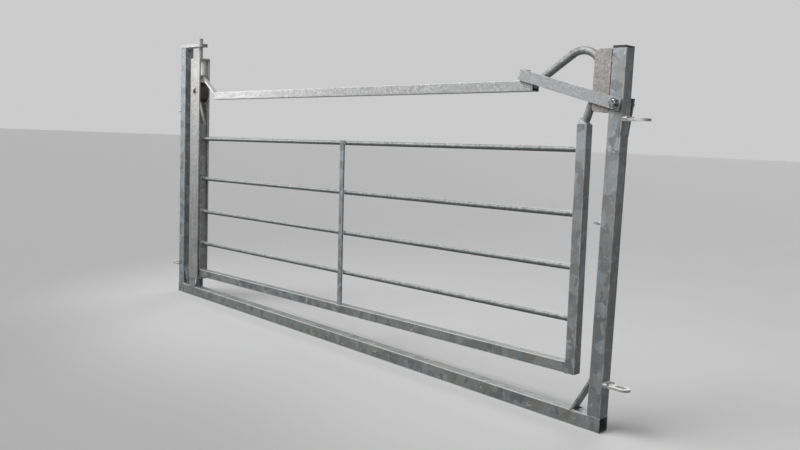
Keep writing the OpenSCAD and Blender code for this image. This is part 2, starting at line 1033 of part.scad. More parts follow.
// The nose as solid stock of one radius, its origin at the bend's centre
module nose_stock(radius, over)
{
    leg = nose_leg + nose_size;
    // bend and the leg that stands on the stile
    rotate([0, nose_fall - quarter_turn, 0])
    union() {
        nose_round(radius, nose_turn);
        translate([nose_bend, 0, -leg])
        cylinder(r = radius, h = leg, $fn = nose_sides);
    }
    // slope down to the top bar, with the weld bead round its joint
    rotate([0, -quarter_turn - nose_climb, 0])
    union() {
        translate([nose_bend, 0, -bead_width / 2])
        cylinder(r = radius + bead_height, h = bead_width, $fn = nose_sides);
        translate([nose_bend, 0, 0])
        cylinder(r = radius, h = nose_rise + over, $fn = nose_sides);
    }
}

module nose_tube()
{
    below = stile_top - nose_centre;
    color(pale_galvanised)
    on_leaf()
    difference() {
        translate([nose_u, 0, nose_centre])
        difference() {
            nose_stock(nose_radius, 0);
            nose_stock(nose_radius - nose_wall, cut);
            slab([-nose_size, -nose_size, below - 2 * nose_size], [nose_bend, nose_size, below]);
        }
        top_bar_walls();
    }
}

// ---- front drop arm
module latch_arm()
{
    color(galvanised)
    on_frame()
    translate([latch_x, arm_back_y, latch_height])
    rotate([0, arm_rest, 0])
    bent_arm();
}

bottom_rail();
hinge_post();
latch_post();
post_cap();
hinge_brace();
latch_brace();
pivot_plate();
pivot_block();
bottom_pin();
guide_plate_front();
guide_plate_back();
eye_hinge_upper();
eye_hinge_lower();
eye_latch_upper();
eye_latch_lower();
latch_bolt();
latch_nut();
latch_washer();
latch_spacer();
back_arm();
carrier_flat_front();
carrier_flat_back();
carrier_top();
carrier_foot();
pivot_pin();
roller_axle();
roller();
left_stile();
right_stile();
leaf_rail();
bar_1();
bar_2();
bar_3();
bar_4();
mid_strap();
top_bar();
ramp();
throat_strap();
nose_tube();
latch_arm();
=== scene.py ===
"""Swing sliding gate: zinc finishes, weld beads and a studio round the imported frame."""
import json
import math

import bmesh
import bpy
from bpy.props import FloatProperty, FloatVectorProperty, IntProperty, PointerProperty
from mathutils import Matrix, Vector, noise


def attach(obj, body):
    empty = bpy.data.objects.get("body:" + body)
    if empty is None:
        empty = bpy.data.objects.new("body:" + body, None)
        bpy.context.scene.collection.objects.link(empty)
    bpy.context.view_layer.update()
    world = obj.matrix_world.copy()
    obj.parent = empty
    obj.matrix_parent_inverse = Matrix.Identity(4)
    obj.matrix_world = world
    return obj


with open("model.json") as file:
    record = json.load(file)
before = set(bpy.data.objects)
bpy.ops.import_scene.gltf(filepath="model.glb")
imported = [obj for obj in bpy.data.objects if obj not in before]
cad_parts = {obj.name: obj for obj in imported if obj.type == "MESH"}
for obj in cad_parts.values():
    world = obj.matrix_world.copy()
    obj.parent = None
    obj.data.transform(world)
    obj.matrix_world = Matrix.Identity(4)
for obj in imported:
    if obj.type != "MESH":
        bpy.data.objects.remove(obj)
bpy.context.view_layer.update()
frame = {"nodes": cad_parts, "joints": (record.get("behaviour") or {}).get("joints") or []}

bl_info = {
    "name": "Swing sliding gate",
    "version": (1, 0, 0),
    "blender": (4, 5, 0),
    "location": "View3D > Sidebar > Gate",
    "description": "Galvanised finishes, weld beads and a studio for a swing sliding gate",
    "category": "Object",
}

NODES = frame["nodes"]
EYES = ("eye_hinge_upper", "eye_hinge_lower", "eye_latch_upper", "eye_latch_lower")
BARS = ("bar_1", "bar_2", "bar_3", "bar_4")
CARRIER_FLATS = ("carrier_flat_front", "carrier_flat_back")
FULL_TURN = 2 * math.pi


# ---- sizes and colours a user may change

def length(label, text, value):
    """A size in metres."""
    return FloatProperty(
        name=label, description=text, default=value, min=0.0, subtype="DISTANCE", unit="LENGTH",
    )


def share(label, text, value):
    """A share from nought to one."""
    return FloatProperty(
        name=label, description=text, default=value, min=0.0, max=1.0, subtype="FACTOR",
    )


def angle(label, text, degrees):
    """An angle, given in degrees."""
    return FloatProperty(
        name=label, description=text, default=math.radians(degrees), subtype="ANGLE", unit="ROTATION",
    )


def number(label, text, value, least=0.0):
    """A plain number, such as the power of a light in watts."""
    return FloatProperty(name=label, description=text, default=value, min=least)


def offset(label, text, value):
    """A place in metres, from another place or from the middle of the ground."""
    return FloatVectorProperty(
        name=label, description=text, default=value, size=3, subtype="TRANSLATION", unit="LENGTH",
    )


def direction(label, text, value):
    """A direction, whose own length means nothing."""
    return FloatVectorProperty(
        name=label, description=text, default=value, size=3, subtype="DIRECTION",
    )


def tint(label, text, value):
    """A colour."""
    return FloatVectorProperty(
        name=label, description=text, default=value, size=3, min=0.0, max=1.0, subtype="COLOR",
    )


class GateZinc(bpy.types.PropertyGroup):
    """Colours and grain of the galvanised finish."""
    frame_pale: tint("Frame, pale", "Pale crystals on the ground frame", (0.46, 0.50, 0.535))
    frame_deep: tint("Frame, deep", "Dark crystals on the ground frame", (0.17, 0.18, 0.18))
    carrier_pale: tint("Carrier, pale", "Pale crystals on the carrier", (0.60, 0.60, 0.595))
    carrier_deep: tint("Carrier, deep", "Dark crystals on the carrier", (0.40, 0.40, 0.40))
    top_bar_pale: tint("Top bar, pale", "Pale crystals on the top bar", (0.65, 0.66, 0.67))
    top_bar_deep: tint("Top bar, deep", "Dark crystals on the top bar", (0.36, 0.37, 0.38))
    # On the nose this is its own colour; laid over the top bar's latch end it is painted shade
    nose_pale: tint("Nose, pale", "Pale crystals on the nose and its foot", (0.39, 0.41, 0.42))
    nose_deep: tint("Nose, deep", "Dark crystals on the nose and its foot", (0.20, 0.21, 0.215))
    # On the eyes this pale zinc is their own colour; on the ramp and on the top bar's hinge end it is
    # painted light
    eye_pale: tint("Eyes and ramp, pale", "Pale crystals on the eyes and the ramp", (0.80, 0.80, 0.79))
    eye_deep: tint("Eyes and ramp, deep", "Dark crystals on the eyes and the ramp", (0.56, 0.56, 0.55))
    rail_pale: tint("Rails and bars, pale", "Pale crystals on the rails and bars", (0.37, 0.40, 0.41))
    rail_deep: tint("Rails and bars, deep", "Dark crystals on the rails and bars", (0.14, 0.155, 0.155))
    plate_pale: tint("Guide plate, pale", "Pale flecks of the guide plates", (0.44, 0.43, 0.42))
    plate_deep: tint("Guide plate, deep", "Dark flecks of the guide plates", (0.23, 0.22, 0.21))
    arm_pale: tint("Arm, pale", "Pale grain of the drop arms", (0.51, 0.52, 0.54))
    arm_deep: tint("Arm, deep", "Dark grain of the drop arms", (0.35, 0.36, 0.38))
    # The bloom colour is also laid as a painted highlight on rounded box edges and on the tops of the
    # bars and nose
    bloom: tint("Bloom", "White zinc bloom over the crystals", (0.76, 0.76, 0.74))
    warm: tint("Warm crystals", "Brownish cast on some of the crystals", (0.34, 0.32, 0.28))
    weld: tint("Weld", "Thick zinc over the weld beads", (0.74, 0.74, 0.73))
    seam: tint("Seam", "Open seam where the zinc has not closed", (0.045, 0.037, 0.032))
    rust: tint("Rust", "Brown stain where the zinc is thin", (0.21, 0.13, 0.08))
    # Painted shade: a dark colour laid on the top of the back arm, which stands in shade behind the
    # latch post
    painted_shade: tint("Grime", "Dark grime on the top of the back arm", (0.06, 0.052, 0.048))
    crystal: length("Crystal size", "Width of one zinc crystal", 0.032)
    grain: length("Grain size", "Width of the fine mottle", 0.004)


class GateTrim(bpy.types.PropertyGroup):
    """Colours of the pieces that are not galvanised, and the size of the axle's ends."""
    nylon: tint("Roller", "Turned nylon of the roller", (0.046, 0.034, 0.027))
    dust: tint("Dust", "Dust that lies on the roller", (0.15, 0.12, 0.095))
    rubbed: tint("Rubbed nylon", "Brown places on the roller", (0.115, 0.058, 0.034))
    plastic: tint("Cap", "Moulded plastic of the post cap", (0.012, 0.012, 0.013))
    scuff: tint("Scuff", "Scuffed places on the cap", (0.09, 0.09, 0.09))
    plate: tint("Bolt plating", "Bright zinc plate of the bolts", (0.66, 0.67, 0.68))
    steel: tint("Axle steel", "Dull steel of the axle ends", (0.045, 0.045, 0.045))
    axle_stand: length("Axle stand", "Distance that the axle stands proud of the flats", 0.006)


class GateWelds(bpy.types.PropertyGroup):
    """Sizes of the weld beads and of the zinc pool."""
    full: length("Full bead", "Radius of a bead in a corner", 0.0042)
    flush: length("Flush bead", "Radius of a dressed bead on flush faces", 0.0014)
    dab: length("Dab", "Radius of the thick dab over each end of the axle", 0.0070)
    step: length("Step", "Distance between the rings of a bead", 0.0016)
    ripple: length("Ripple", "Distance between the ripples of a bead", 0.0062)
    ripple_depth: share("Ripple depth", "Depth of the ripples as a share of the bead", 0.22)
    lump: length("Lump size", "Width of the uneven lumps", 0.014)
    lump_depth: share("Lump depth", "Height of the lumps as a share of the bead", 0.55)
    pool_height: length("Pool height", "Height of the zinc pool round the nose's foot", 0.025)
    pool_lean: angle("Pool lean", "Lean of the pool, with the nose tube, towards the hinge", 19.5)
    seed: IntProperty(name="Seed", description="Seed of the lumps", default=7, min=0)


class GateStage(bpy.types.PropertyGroup):
    """Floor, lights and camera."""
    lens: number("Lens", "Focal length in millimetres", 35.76, least=10.0)
    eye: offset("Eye", "Place of the camera", (2.678, -2.262, 0.9516))
    yaw: angle("Yaw", "Turn of the camera to the left", 45.446)
    pitch: angle("Pitch", "Tilt of the camera, up being positive", -6.686)
    roll: angle("Roll", "Roll of the camera", 2.425)
    floor: tint("Floor", "Colour of the floor", (0.84, 0.84, 0.84))
    floor_reach: length("Floor reach", "Distance from the gate to the floor's border", 60.0)
    dim_floor: share("Floor bounce", "Share of the light that the floor throws back", 0.18)
    backdrop: tint("Backdrop", "Colour behind the gate", (0.60, 0.60, 0.605))
    sky: number("Sky", "Strength of the even light from all round", 0.14)
    key: number("Key", "Strength of the key light", 1.05)
    key_spread: angle("Key spread", "Apparent width of the key light", 38)
    key_from: direction("Key from", "Where the key light comes from", (-0.42, -0.72, 1.45))
    fill: number("Fill", "Strength of the light from behind the gate", 0.85)
    fill_spread: angle("Fill spread", "Apparent width of the light from behind", 40)
    fill_from: direction("Fill from", "Where the light from behind comes from", (-0.32, 1.0, 0.35))
    soft_size: length("Soft box size", "Width of the soft boxes", 0.9)
    soft_spread: angle("Soft box spread", "Angle that the soft boxes light", 105)
    hinge_soft: number("Hinge soft box", "Power of the soft box by the hinge side, in watts", 4.6)
    hinge_from: offset("Hinge soft box place", "Its place from the axle", (-0.90, -1.06, 0.42))
    middle_soft: number("Middle soft box", "Power of the soft box before the middle, in watts", 4.5)
    middle_from: offset("Middle soft box place", "Its place from the middle", (-0.30, -1.12, 0.75))
    latch_soft: number("Latch soft box", "Power of the soft box by the latch side, in watts", 4.8)
    latch_from: offset("Latch soft box place", "Its place from the nose", (-0.45, -1.06, 0.75))


# ---- node trees

def add_node(tree, kind, inputs=None, **settings):
    """A node with its settings and the values of some of its inputs."""
    made = tree.nodes.new(kind)
    for key, value in settings.items():
        setattr(made, key, value)
    for key, value in (inputs or {}).items():
        made.inputs[key].default_value = value
    return made


def add_math(tree, kind, a, b, clamp=False):
    """A Math node; each of its two terms is a number or another node's output."""
    made = add_node(tree, "ShaderNodeMath", operation=kind, use_clamp=clamp)
    for socket, value in zip(made.inputs, (a, b)):
        if isinstance(value, (int, float)):
            socket.default_value = value
        else:
            tree.links.new(value, socket)
    return made.outputs["Value"]


def colour(rgb):
    """A colour as a node's socket takes it, with full alpha."""
    return (rgb[0], rgb[1], rgb[2], 1.0)


def shade(rgb, amount):
    """A darker colour of the same hue."""
    return [channel * amount for channel in rgb]


class Finish:
    """A material whose patterns read the piece's own Object coordinates, in metres."""

    def __init__(self, name):
        self.material = bpy.data.materials.new(name)
        self.material.use_nodes = True
        self.tree = self.material.node_tree
        self.tree.nodes.clear()
        here = self.add("ShaderNodeTexCoord").outputs
        self.place = here["Object"]
        self.facing = here["Normal"]

    def add(self, kind, inputs=None, **settings):
        return add_node(self.tree, kind, inputs, **settings)

    def link(self, start, end):
        self.tree.links.new(start, end)

    def math(self, kind, a, b):
        return add_math(self.tree, kind, a, b, clamp=kind == "ADD")

    def vector(self, kind, a, b=None):
        """A Vector Math node's outputs; the second term is a fixed vector or another output."""
        made = self.add("ShaderNodeVectorMath", operation=kind)
        self.link(a, made.inputs[0])
        if isinstance(b, bpy.types.NodeSocket):
            self.link(b, made.inputs[1])
        elif b is not None:
            made.inputs[1].default_value = b
        return made.outputs

    def stretched(self, scale):
        """The coordinates, stretched for streaks."""
        made = self.add("ShaderNodeMapping", {"Scale": scale})
        self.link(self.place, made.inputs["Vector"])
        return made.outputs["Vector"]

    def noise(self, size, detail=3.0, rough=0.5, place=None):
        values = {"Scale": 1.0 / size, "Detail": detail, "Roughness": rough}
        made = self.add("ShaderNodeTexNoise", values)
        self.link(place or self.place, made.inputs["Vector"])
        return made.outputs["Fac"]

    def between(self, value, low, high, to_low=0.0, to_high=1.0):
        """A smooth rise of a value from one level to another."""
        made = self.add(
            "ShaderNodeMapRange",
            {"From Min": low, "From Max": high, "To Min": to_low, "To Max": to_high},
            interpolation_type="SMOOTHSTEP",
        )
        self.link(value, made.inputs["Value"])
        return made.outputs["Result"]

    def uneven(self, size, smooth, dull, detail=3.0, rough=0.5):
        """Roughness that wanders between two levels."""
        return self.between(self.noise(size, detail, rough), *NOISE_LEVELS, smooth, dull)

    def weigh(self, *layers):
        """The sum of patterns, each given with its share, clamped to one."""
        parts = [self.math("MULTIPLY", pattern, amount) for pattern, amount in layers]
        total = parts[0]
        for part in parts[1:]:
            total = self.math("ADD", total, part)
        return total

    def mix(self, factor, a, b):
        """Two colours, mixed by a pattern."""
        made = self.add("ShaderNodeMix", data_type="RGBA")
        self.link(factor, made.inputs["Factor"])
        for name, value in (("A", a), ("B", b)):
            socket = next(s for s in made.inputs if s.name == name and s.type == "RGBA")
            if isinstance(value, bpy.types.NodeSocket):
                self.link(value, socket)
            else:
                socket.default_value = colour(value)
        return next(s for s in made.outputs if s.type == "RGBA")

    def wash(self, base, over, pattern, amount):
        """Lays a share of a colour over the base where a pattern is high."""
        return self.mix(self.math("MULTIPLY", pattern, amount), base, over)

    def crystals(self, size, wander):
        """Tone and cast of each zinc crystal, and the distance from its middle."""
        sway = self.add("ShaderNodeTexNoise", {"Scale": SWAYS / size, "Detail": 2.0})
        self.link(self.place, sway.inputs["Vector"])
        shift = self.vector("MULTIPLY", sway.outputs["Color"], (wander, wander, wander))
        moved = self.vector("ADD", self.place, shift["Vector"])
        cells = self.add("ShaderNodeTexVoronoi", {"Scale": 1.0 / size})
        self.link(moved["Vector"], cells.inputs["Vector"])
        split = self.add("ShaderNodeSeparateColor")
        self.link(cells.outputs["Color"], split.inputs["Color"])
        return split.outputs["Red"], split.outputs["Green"], cells.outputs["Distance"]

    def facings(self):
        """The X, Y and Z of the surface's normal."""
        split = self.add("ShaderNodeSeparateXYZ")
        self.link(self.facing, split.inputs["Vector"])
        return split.outputs

    def corner(self, axes):
        """One where the surface turns round a corner between two axes, else zero."""
        facings = self.facings()
        both = self.math("MULTIPLY", facings[axes[0]], facings[axes[1]])
        return self.between(self.math("ABSOLUTE", both, 0.0), low=0.06, high=0.30)

    def upward(self, low, high):
        """Rises from nought to one as the surface turns from one tilt to the other."""
        return self.between(self.facings()["Z"], low, high)

    def near(self, centre, reach):
        """A patch round a point, with a ragged border as wide as its reach."""
        away = self.vector("DISTANCE", self.place, centre)["Value"]
        grain = self.noise(reach * 0.4, detail=4.0, rough=0.7)
        ragged = self.math("MULTIPLY_ADD", grain, reach)
        ragged.node.inputs[2].default_value = -0.5 * reach
        span = self.math("ADD", away, ragged)
        return self.between(span, low=0.5 * reach, high=1.5 * reach, to_low=1.0, to_high=0.0)

    def finish(self, base, roughness, bump=None, metallic=0.0, strength=0.2, depth=0.001):
        """The surface itself; plain numbers go on the shader's own sockets."""
        shader = self.add("ShaderNodeBsdfPrincipled", {"Metallic": metallic})
        self.link(base, shader.inputs["Base Color"])
        self.link(roughness, shader.inputs["Roughness"])
        if bump is not None:
            relief = self.add("ShaderNodeBump", {"Strength": strength, "Distance": depth})
            self.link(bump, relief.inputs["Height"])
            self.link(relief.outputs["Normal"], shader.inputs["Normal"])
        output = self.add("ShaderNodeOutputMaterial")
        self.link(shader.outputs["BSDF"], output.inputs["Surface"])
        return self.material


# ---- finishes: widths in metres, and levels and shares from nought to one

# Levels between which a noise pattern rises from nought to one
NOISE_LEVELS, EVEN_LEVELS = (0.3, 0.7), (0.34, 0.66)

# How often the sway that bends the crystals' borders turns, in each crystal's width
SWAYS = 0.7
# The small crystals' size, and how far both kinds wander, as shares of a crystal
SMALL_CRYSTAL, CRYSTAL_WANDER, SMALL_WANDER = 0.31, 0.8, 0.4
BROAD_MOTTLE, STREAK_WIDTH, CLOUD_WIDTH = 0.16, 0.010, 0.030
# Width of the patches that break up the painted edge highlight, and of the surface ripple
EDGE_HIGHLIGHT_PATCH, SURFACE_RIPPLE = 0.035, 0.010
# How much each pattern adds to the tone, from the dark colour to the pale one
TONE_SHARES = {"crystal": 0.58, "small": 0.14, "broad": 0.14, "streak": 0.12}
# The most that each colour is laid over the base; the last is the painted highlight on rounded edges
WARM_MOST, BLOOM_MOST, EDGE_HIGHLIGHT_MOST = 0.42, 0.62, 0.95
# Fine rings that the lathe leaves on the nylon, in radians for each metre of radius
LATHE_RINGS = 5200.0


def streaks(x=1.0, y=1.0, z=1.0):
    """Scale of the streak pattern, small on the axis along which the streaks run."""
    return (x, y, z)


def stain(centre, reach, over, amount, right=0.0, up=0.0):
    """A patch for hot_dip_zinc, used for rust stains, painted light and painted shade; right and up
    move its centre.
    """
    return (centre[0] + right, centre[1], centre[2] + up), reach, over, amount


def hot_dip_zinc(
    name, pale, deep, zinc, run, bloom_level=0.62, stains=(), corner=None, corner_least=0.2,
    size=1.0, fleck=0.12, gloss=0.0, ridge=0.0,
):
    """Hot-dip zinc: crystals, a broad mottle, streaks along a run and white bloom.

    The run is a scale made by streaks, and each of the patches is made by the
    helper above; they are rust stains, painted light and painted shade. White
    bloom shows where its cloud passes bloom_level. A painted highlight in the
    bloom colour lies on the rounded edges between the two axes of corner, at
    least by the least share given for it. The crystals shrink with size, fleck
    is the share of fine flecks, and gloss makes the zinc brighter metal. With
    the share for painted highlight and shade, what faces up is paler, a painted
    highlight, and what faces down is darker, a painted shade.
    """
    made = Finish(name)
    crystal = zinc.crystal * size
    tone, cast, border = made.crystals(crystal, crystal * CRYSTAL_WANDER)
    small = made.crystals(crystal * SMALL_CRYSTAL, crystal * SMALL_WANDER)[0]
    broad = made.noise(BROAD_MOTTLE, rough=0.55)
    streak = made.noise(STREAK_WIDTH, detail=4.0, rough=0.55, place=made.stretched(run))
    fine = made.noise(zinc.grain, rough=0.65)
    cloud = made.noise(CLOUD_WIDTH * max(size, 0.3), detail=6.0, rough=0.70)

    base = made.mix(made.weigh(
        (made.between(tone, low=0.12, high=0.88), TONE_SHARES["crystal"]),
        (small, TONE_SHARES["small"]),
        (made.between(broad, *EVEN_LEVELS), TONE_SHARES["broad"]),
        (made.between(streak, *EVEN_LEVELS), TONE_SHARES["streak"]),
        (made.between(fine, low=0.36, high=0.64), fleck),
    ), deep, pale)
    base = made.wash(base, zinc.warm, made.between(cast, low=0.56, high=0.62), WARM_MOST)
    bloom = made.between(cloud, bloom_level - 0.05, bloom_level + 0.06)
    base = made.wash(base, zinc.bloom, bloom, BLOOM_MOST)
    # Painted highlight: the bloom colour laid along the rounded edges of box sections, where light
    # glints
    if corner:
        patchy = made.noise(EDGE_HIGHLIGHT_PATCH, detail=4.0, rough=0.6)
        patchy = made.between(patchy, low=0.36, high=0.62, to_low=corner_least, to_high=EDGE_HIGHLIGHT_MOST)
        base = made.wash(base, zinc.bloom, made.corner(corner), patchy)
    # Painted highlight: what faces up is paler, in the bloom colour, as if lit from above
    if ridge:
        top = made.math("MULTIPLY", made.upward(low=0.66, high=0.92), ridge)
        patchy = made.between(small, low=0.1, high=0.7, to_low=0.55, to_high=1.2)
        base = made.wash(base, zinc.bloom, top, patchy)
        # Painted shade: what faces down is darker, as if turned away from the light
        under = made.upward(low=0.15, high=-0.45)
        painted_underside_shade = 0.3 + 0.65 * ridge
        base = made.wash(base, shade(deep, 0.5), under, painted_underside_shade)
    # Rust stains, painted light and painted shade, each laid round its point
    for centre, reach, over, amount in stains:
        broken = made.between(streak, low=0.35, high=0.65, to_low=0.2)
        spot = made.math("MULTIPLY", made.near(centre, reach), broken)
        base = made.wash(base, over, spot, amount)

    smoothest = 0.34 - 0.16 * gloss
    metallic = 0.16 + 0.4 * gloss
    roughness = made.math("ADD", made.weigh((tone, 0.16), (cloud, 0.16)), smoothest)
    ripple = made.noise(SURFACE_RIPPLE, detail=4.0, rough=0.6)
    relief = made.weigh((border, 4.0), (ripple, 0.7))
    return made.finish(base, roughness, relief, metallic, strength=0.22, depth=0.0012)


def weld_zinc(zinc):
    """Thick, pale zinc that lies over a weld."""
    made = Finish("weld_zinc")
    cloud = made.noise(size=0.012, detail=5.0, rough=0.65)
    thin = shade(zinc.weld, 0.6)
    base = made.mix(made.between(cloud, low=0.32, high=0.62), thin, zinc.weld)
    roughness = made.uneven(size=0.006, smooth=0.26, dull=0.46)
    relief = made.noise(size=0.004, detail=4.0, rough=0.6)
    return made.finish(base, roughness, relief, metallic=0.2, strength=0.35)


def seam_zinc(zinc):
    """Dressed seam: grey zinc with dull and pale places."""
    made = Finish("seam_zinc")
    cloud = made.noise(size=0.016, detail=5.0, rough=0.65)
    thick = shade(zinc.weld, 0.8)
    base = made.mix(made.between(cloud, low=0.40, high=0.66), zinc.frame_deep, thick)
    roughness = made.uneven(size=0.008, smooth=0.36, dull=0.58)
    relief = made.noise(size=0.003, detail=4.0, rough=0.6)
    return made.finish(base, roughness, relief, metallic=0.2, strength=0.3, depth=0.0008)


def open_seam(zinc):
    """Gap of a seam that was only tacked, brown with rust."""
    made = Finish("open_seam")
    cloud = made.noise(size=0.009, detail=4.0, rough=0.6)
    base = made.mix(made.between(cloud, low=0.42, high=0.64), zinc.seam, zinc.rust)
    roughness = made.uneven(size=0.006, smooth=0.6, dull=0.85)
    relief = made.noise(size=0.002, rough=0.6)
    return made.finish(base, roughness, relief, strength=0.3, depth=0.0006)


def turned_nylon(trim, centre):
    """Dark nylon with the fine rings of the lathe and dust on its sides."""
    made = Finish("roller_nylon")
    away = made.vector("SUBTRACT", made.place, centre)["Vector"]
    beside = made.vector("MULTIPLY", away, (1.0, 0.0, 1.0))["Vector"]
    radius = made.vector("LENGTH", beside)["Value"]
    rings = made.math("SINE", made.math("MULTIPLY", radius, LATHE_RINGS), 0.0)
    dusty = made.between(made.noise(size=0.020, detail=6.0, rough=0.7), low=0.42, high=0.72)
    worn = made.between(made.noise(size=0.05, rough=0.6), low=0.4, high=0.7)
    base = made.wash(trim.nylon, trim.dust, dusty, amount=0.6)
    base = made.wash(base, trim.rubbed, worn, amount=0.55)
    roughness = made.uneven(size=0.016, smooth=0.34, dull=0.62, detail=4.0, rough=0.6)
    relief = made.weigh((rings, 0.25), (made.noise(size=0.003, rough=0.6), 1.0))
    return made.finish(base, roughness, relief, depth=0.0004)


def moulded_plastic(trim):
    """Black cap plastic with scuffs."""
    made = Finish("black_plastic")
    scratch = made.noise(size=0.0016, detail=5.0, rough=0.6, place=made.stretched(streaks(y=0.12)))
    scratch = made.between(scratch, low=0.58, high=0.7)
    scuffed = made.between(made.noise(size=0.018), low=0.42, high=0.62)
    base = made.wash(trim.plastic, trim.scuff, scratch, amount=scuffed)
    roughness = made.uneven(size=0.008, smooth=0.36, dull=0.6, detail=4.0, rough=0.6)
    relief = made.noise(size=0.0012, detail=2.0)
    return made.finish(base, roughness, relief, strength=0.15, depth=0.0003)


def bright_plate(trim):
    """Bright zinc plate with handling marks."""
    made = Finish("bright_plate")
    mark = made.between(made.noise(size=0.007, detail=5.0, rough=0.65), low=0.40, high=0.66)
    base = made.mix(mark, shade(trim.plate, 0.22), trim.plate)
    roughness = made.uneven(size=0.004, smooth=0.14, dull=0.28, detail=4.0, rough=0.6)
    relief = made.noise(size=0.0025)
    return made.finish(base, roughness, relief, metallic=0.95, strength=0.08, depth=0.0003)


def dull_steel(trim):
    """Bare axle steel, dull with old grease."""
    made = Finish("axle_steel")
    clean = made.between(made.noise(size=0.005, detail=4.0, rough=0.6), low=0.35, high=0.65)
    base = made.mix(clean, shade(trim.steel, 0.25), trim.steel)
    roughness = made.uneven(size=0.003, smooth=0.42, dull=0.7)
    return made.finish(base, roughness, made.noise(size=0.002), metallic=0.5, depth=0.0004)


def dress(names, material):
    """Gives the named CAD nodes one finish."""
    for name in names:
        data = NODES[name].data
        data.materials.clear()
        data.materials.append(material)
        for face in data.polygons:
            face.material_index = 0


def dress_zinc(names, finish_name, pale, deep, run, **more):
    """Gives the named CAD nodes a hot-dip zinc of their own."""
    zinc = bpy.context.scene.gate_zinc
    dress(names, hot_dip_zinc(finish_name, pale, deep, zinc, run, **more))


# ---- places read from the frame

LEVEL = Matrix.Identity(4)


def joint_place(name):
    """Where a joint's axis stands."""
    joint = next(j for j in frame["joints"] if j["name"] == name)
    return Vector(joint["pos_m"])


def leaf_slope():
    """Slope of the leaf, read from the middle line of its bottom rail."""
    points = [v.co for v in NODES["leaf_rail"].data.vertices]
    middle = sum(p.x for p in points) / len(points)
    ends = []
    for side in ([p for p in points if p.x < middle], [p for p in points if p.x >= middle]):
        ends.append((sum(p.x for p in side) / len(side), sum(p.z for p in side) / len(side)))
    (left_x, left_z), (right_x, right_z) = ends
    return math.atan2(right_z - left_z, right_x - left_x)


AXLE = joint_place("roller_spin")
LEAF = Matrix.Translation(AXLE) @ Matrix.Rotation(-leaf_slope(), 4, "Y")


def points_of(name, place=LEVEL):
    """All the points of a node, in the leaf's own frame if asked."""
    back = place.inverted()
    return [back @ v.co for v in NODES[name].data.vertices]


def extent(name, place=LEVEL):
    """Lowest and highest corner of a node."""
    points = points_of(name, place)
    return (
        Vector([min(p[i] for p in points) for i in range(3)]),
        Vector([max(p[i] for p in points) for i in range(3)]),
    )


# ---- weld paths

# Gaps between the end of a bead and the corner that it stops short of, in metres
BOX_GAP, STRAP_GAP, EYE_GAP, PLATE_GAP = 0.004, 0.004, 0.003, 0.002
BOX_END_GAP, FLUSH_END_GAP = 0.0035, 0.005
# How far beads lie inside a flush face, a flat, an eye's side and a top, in metres
FLUSH_INSET, FLAT_INSET, EYE_INSET, TOP_SINK = 0.0006, 0.0005, 0.002, 0.001
# Lengths of the short beads, in metres
BRACE_SEAM, EYE_SEAM, BAR_SEAM = 0.020, 0.016, 0.014
# How far the ring and the dab lie outside the axle, in metres
AXLE_RING, AXLE_DAB = 0.002, 0.006
# Start and length of each tack on a guide plate, as shares of its height
GUIDE_TACKS = ((0.02, 0.10), (0.45, 0.07), (0.74, 0.05), (0.90, 0.09))
# Sides of a bead, and the steps of a ring of it
BEAD_SIDES, RING_STEPS = 8, 28
# Radius of each bead, as a share of the full one
BEAD_SHARES = {
    "brace side": 0.7, "brace toe": 0.8, "eye top": 1.8, "eye side": 1.2,
    "carrier top": 0.75, "axle": 0.5,
    "bar": 0.75, "strap": 0.7, "ramp top": 0.8, "ramp end": 0.9, "ramp end side": 0.8,
}
# Radius of a guide plate's open gap and of its tacks, as shares of a dressed bead
GAP_SHARE, TACK_SHARE = 1.1, 2.0
# Height of the ramp's end face on the top bar, in metres, which its beads run round
RAMP_FOOT = 0.0148

# The axle's stubs: how much thinner they are than the axle and how deep they start, in
# metres, their sides, and the angle over which an edge stays sharp
STUB_SLIP, STUB_SINK = 0.0004, 0.001
STUB_SIDES, STUB_SHARP = 40, math.radians(35)

# The nose pool: how far it stays inside the stile and reaches into the tube, in metres,
# and the shares that give its corners, its lower side, its lumps and the tube's depth
POOL_STEPS, POOL_LEVELS = 56, 12
POOL_INSET, POOL_OVERLAP = 0.0012, 0.0006
POOL_CORNER, POOL_LOPSIDED, POOL_UNEVEN, TUBE_SQUASH = 1.24, 0.24, 0.3, 0.95
POOL_LUMPS, POOL_LUMPS_SEED = 1.7, 3.1
POOL_WOBBLE, WOBBLES_PER_METRE, WOBBLE_UPWARDS = 0.0016, 110.0, 0.6

# Points of a node nearer than this, in metres, lie on the same face
ROUNDING = 0.0005


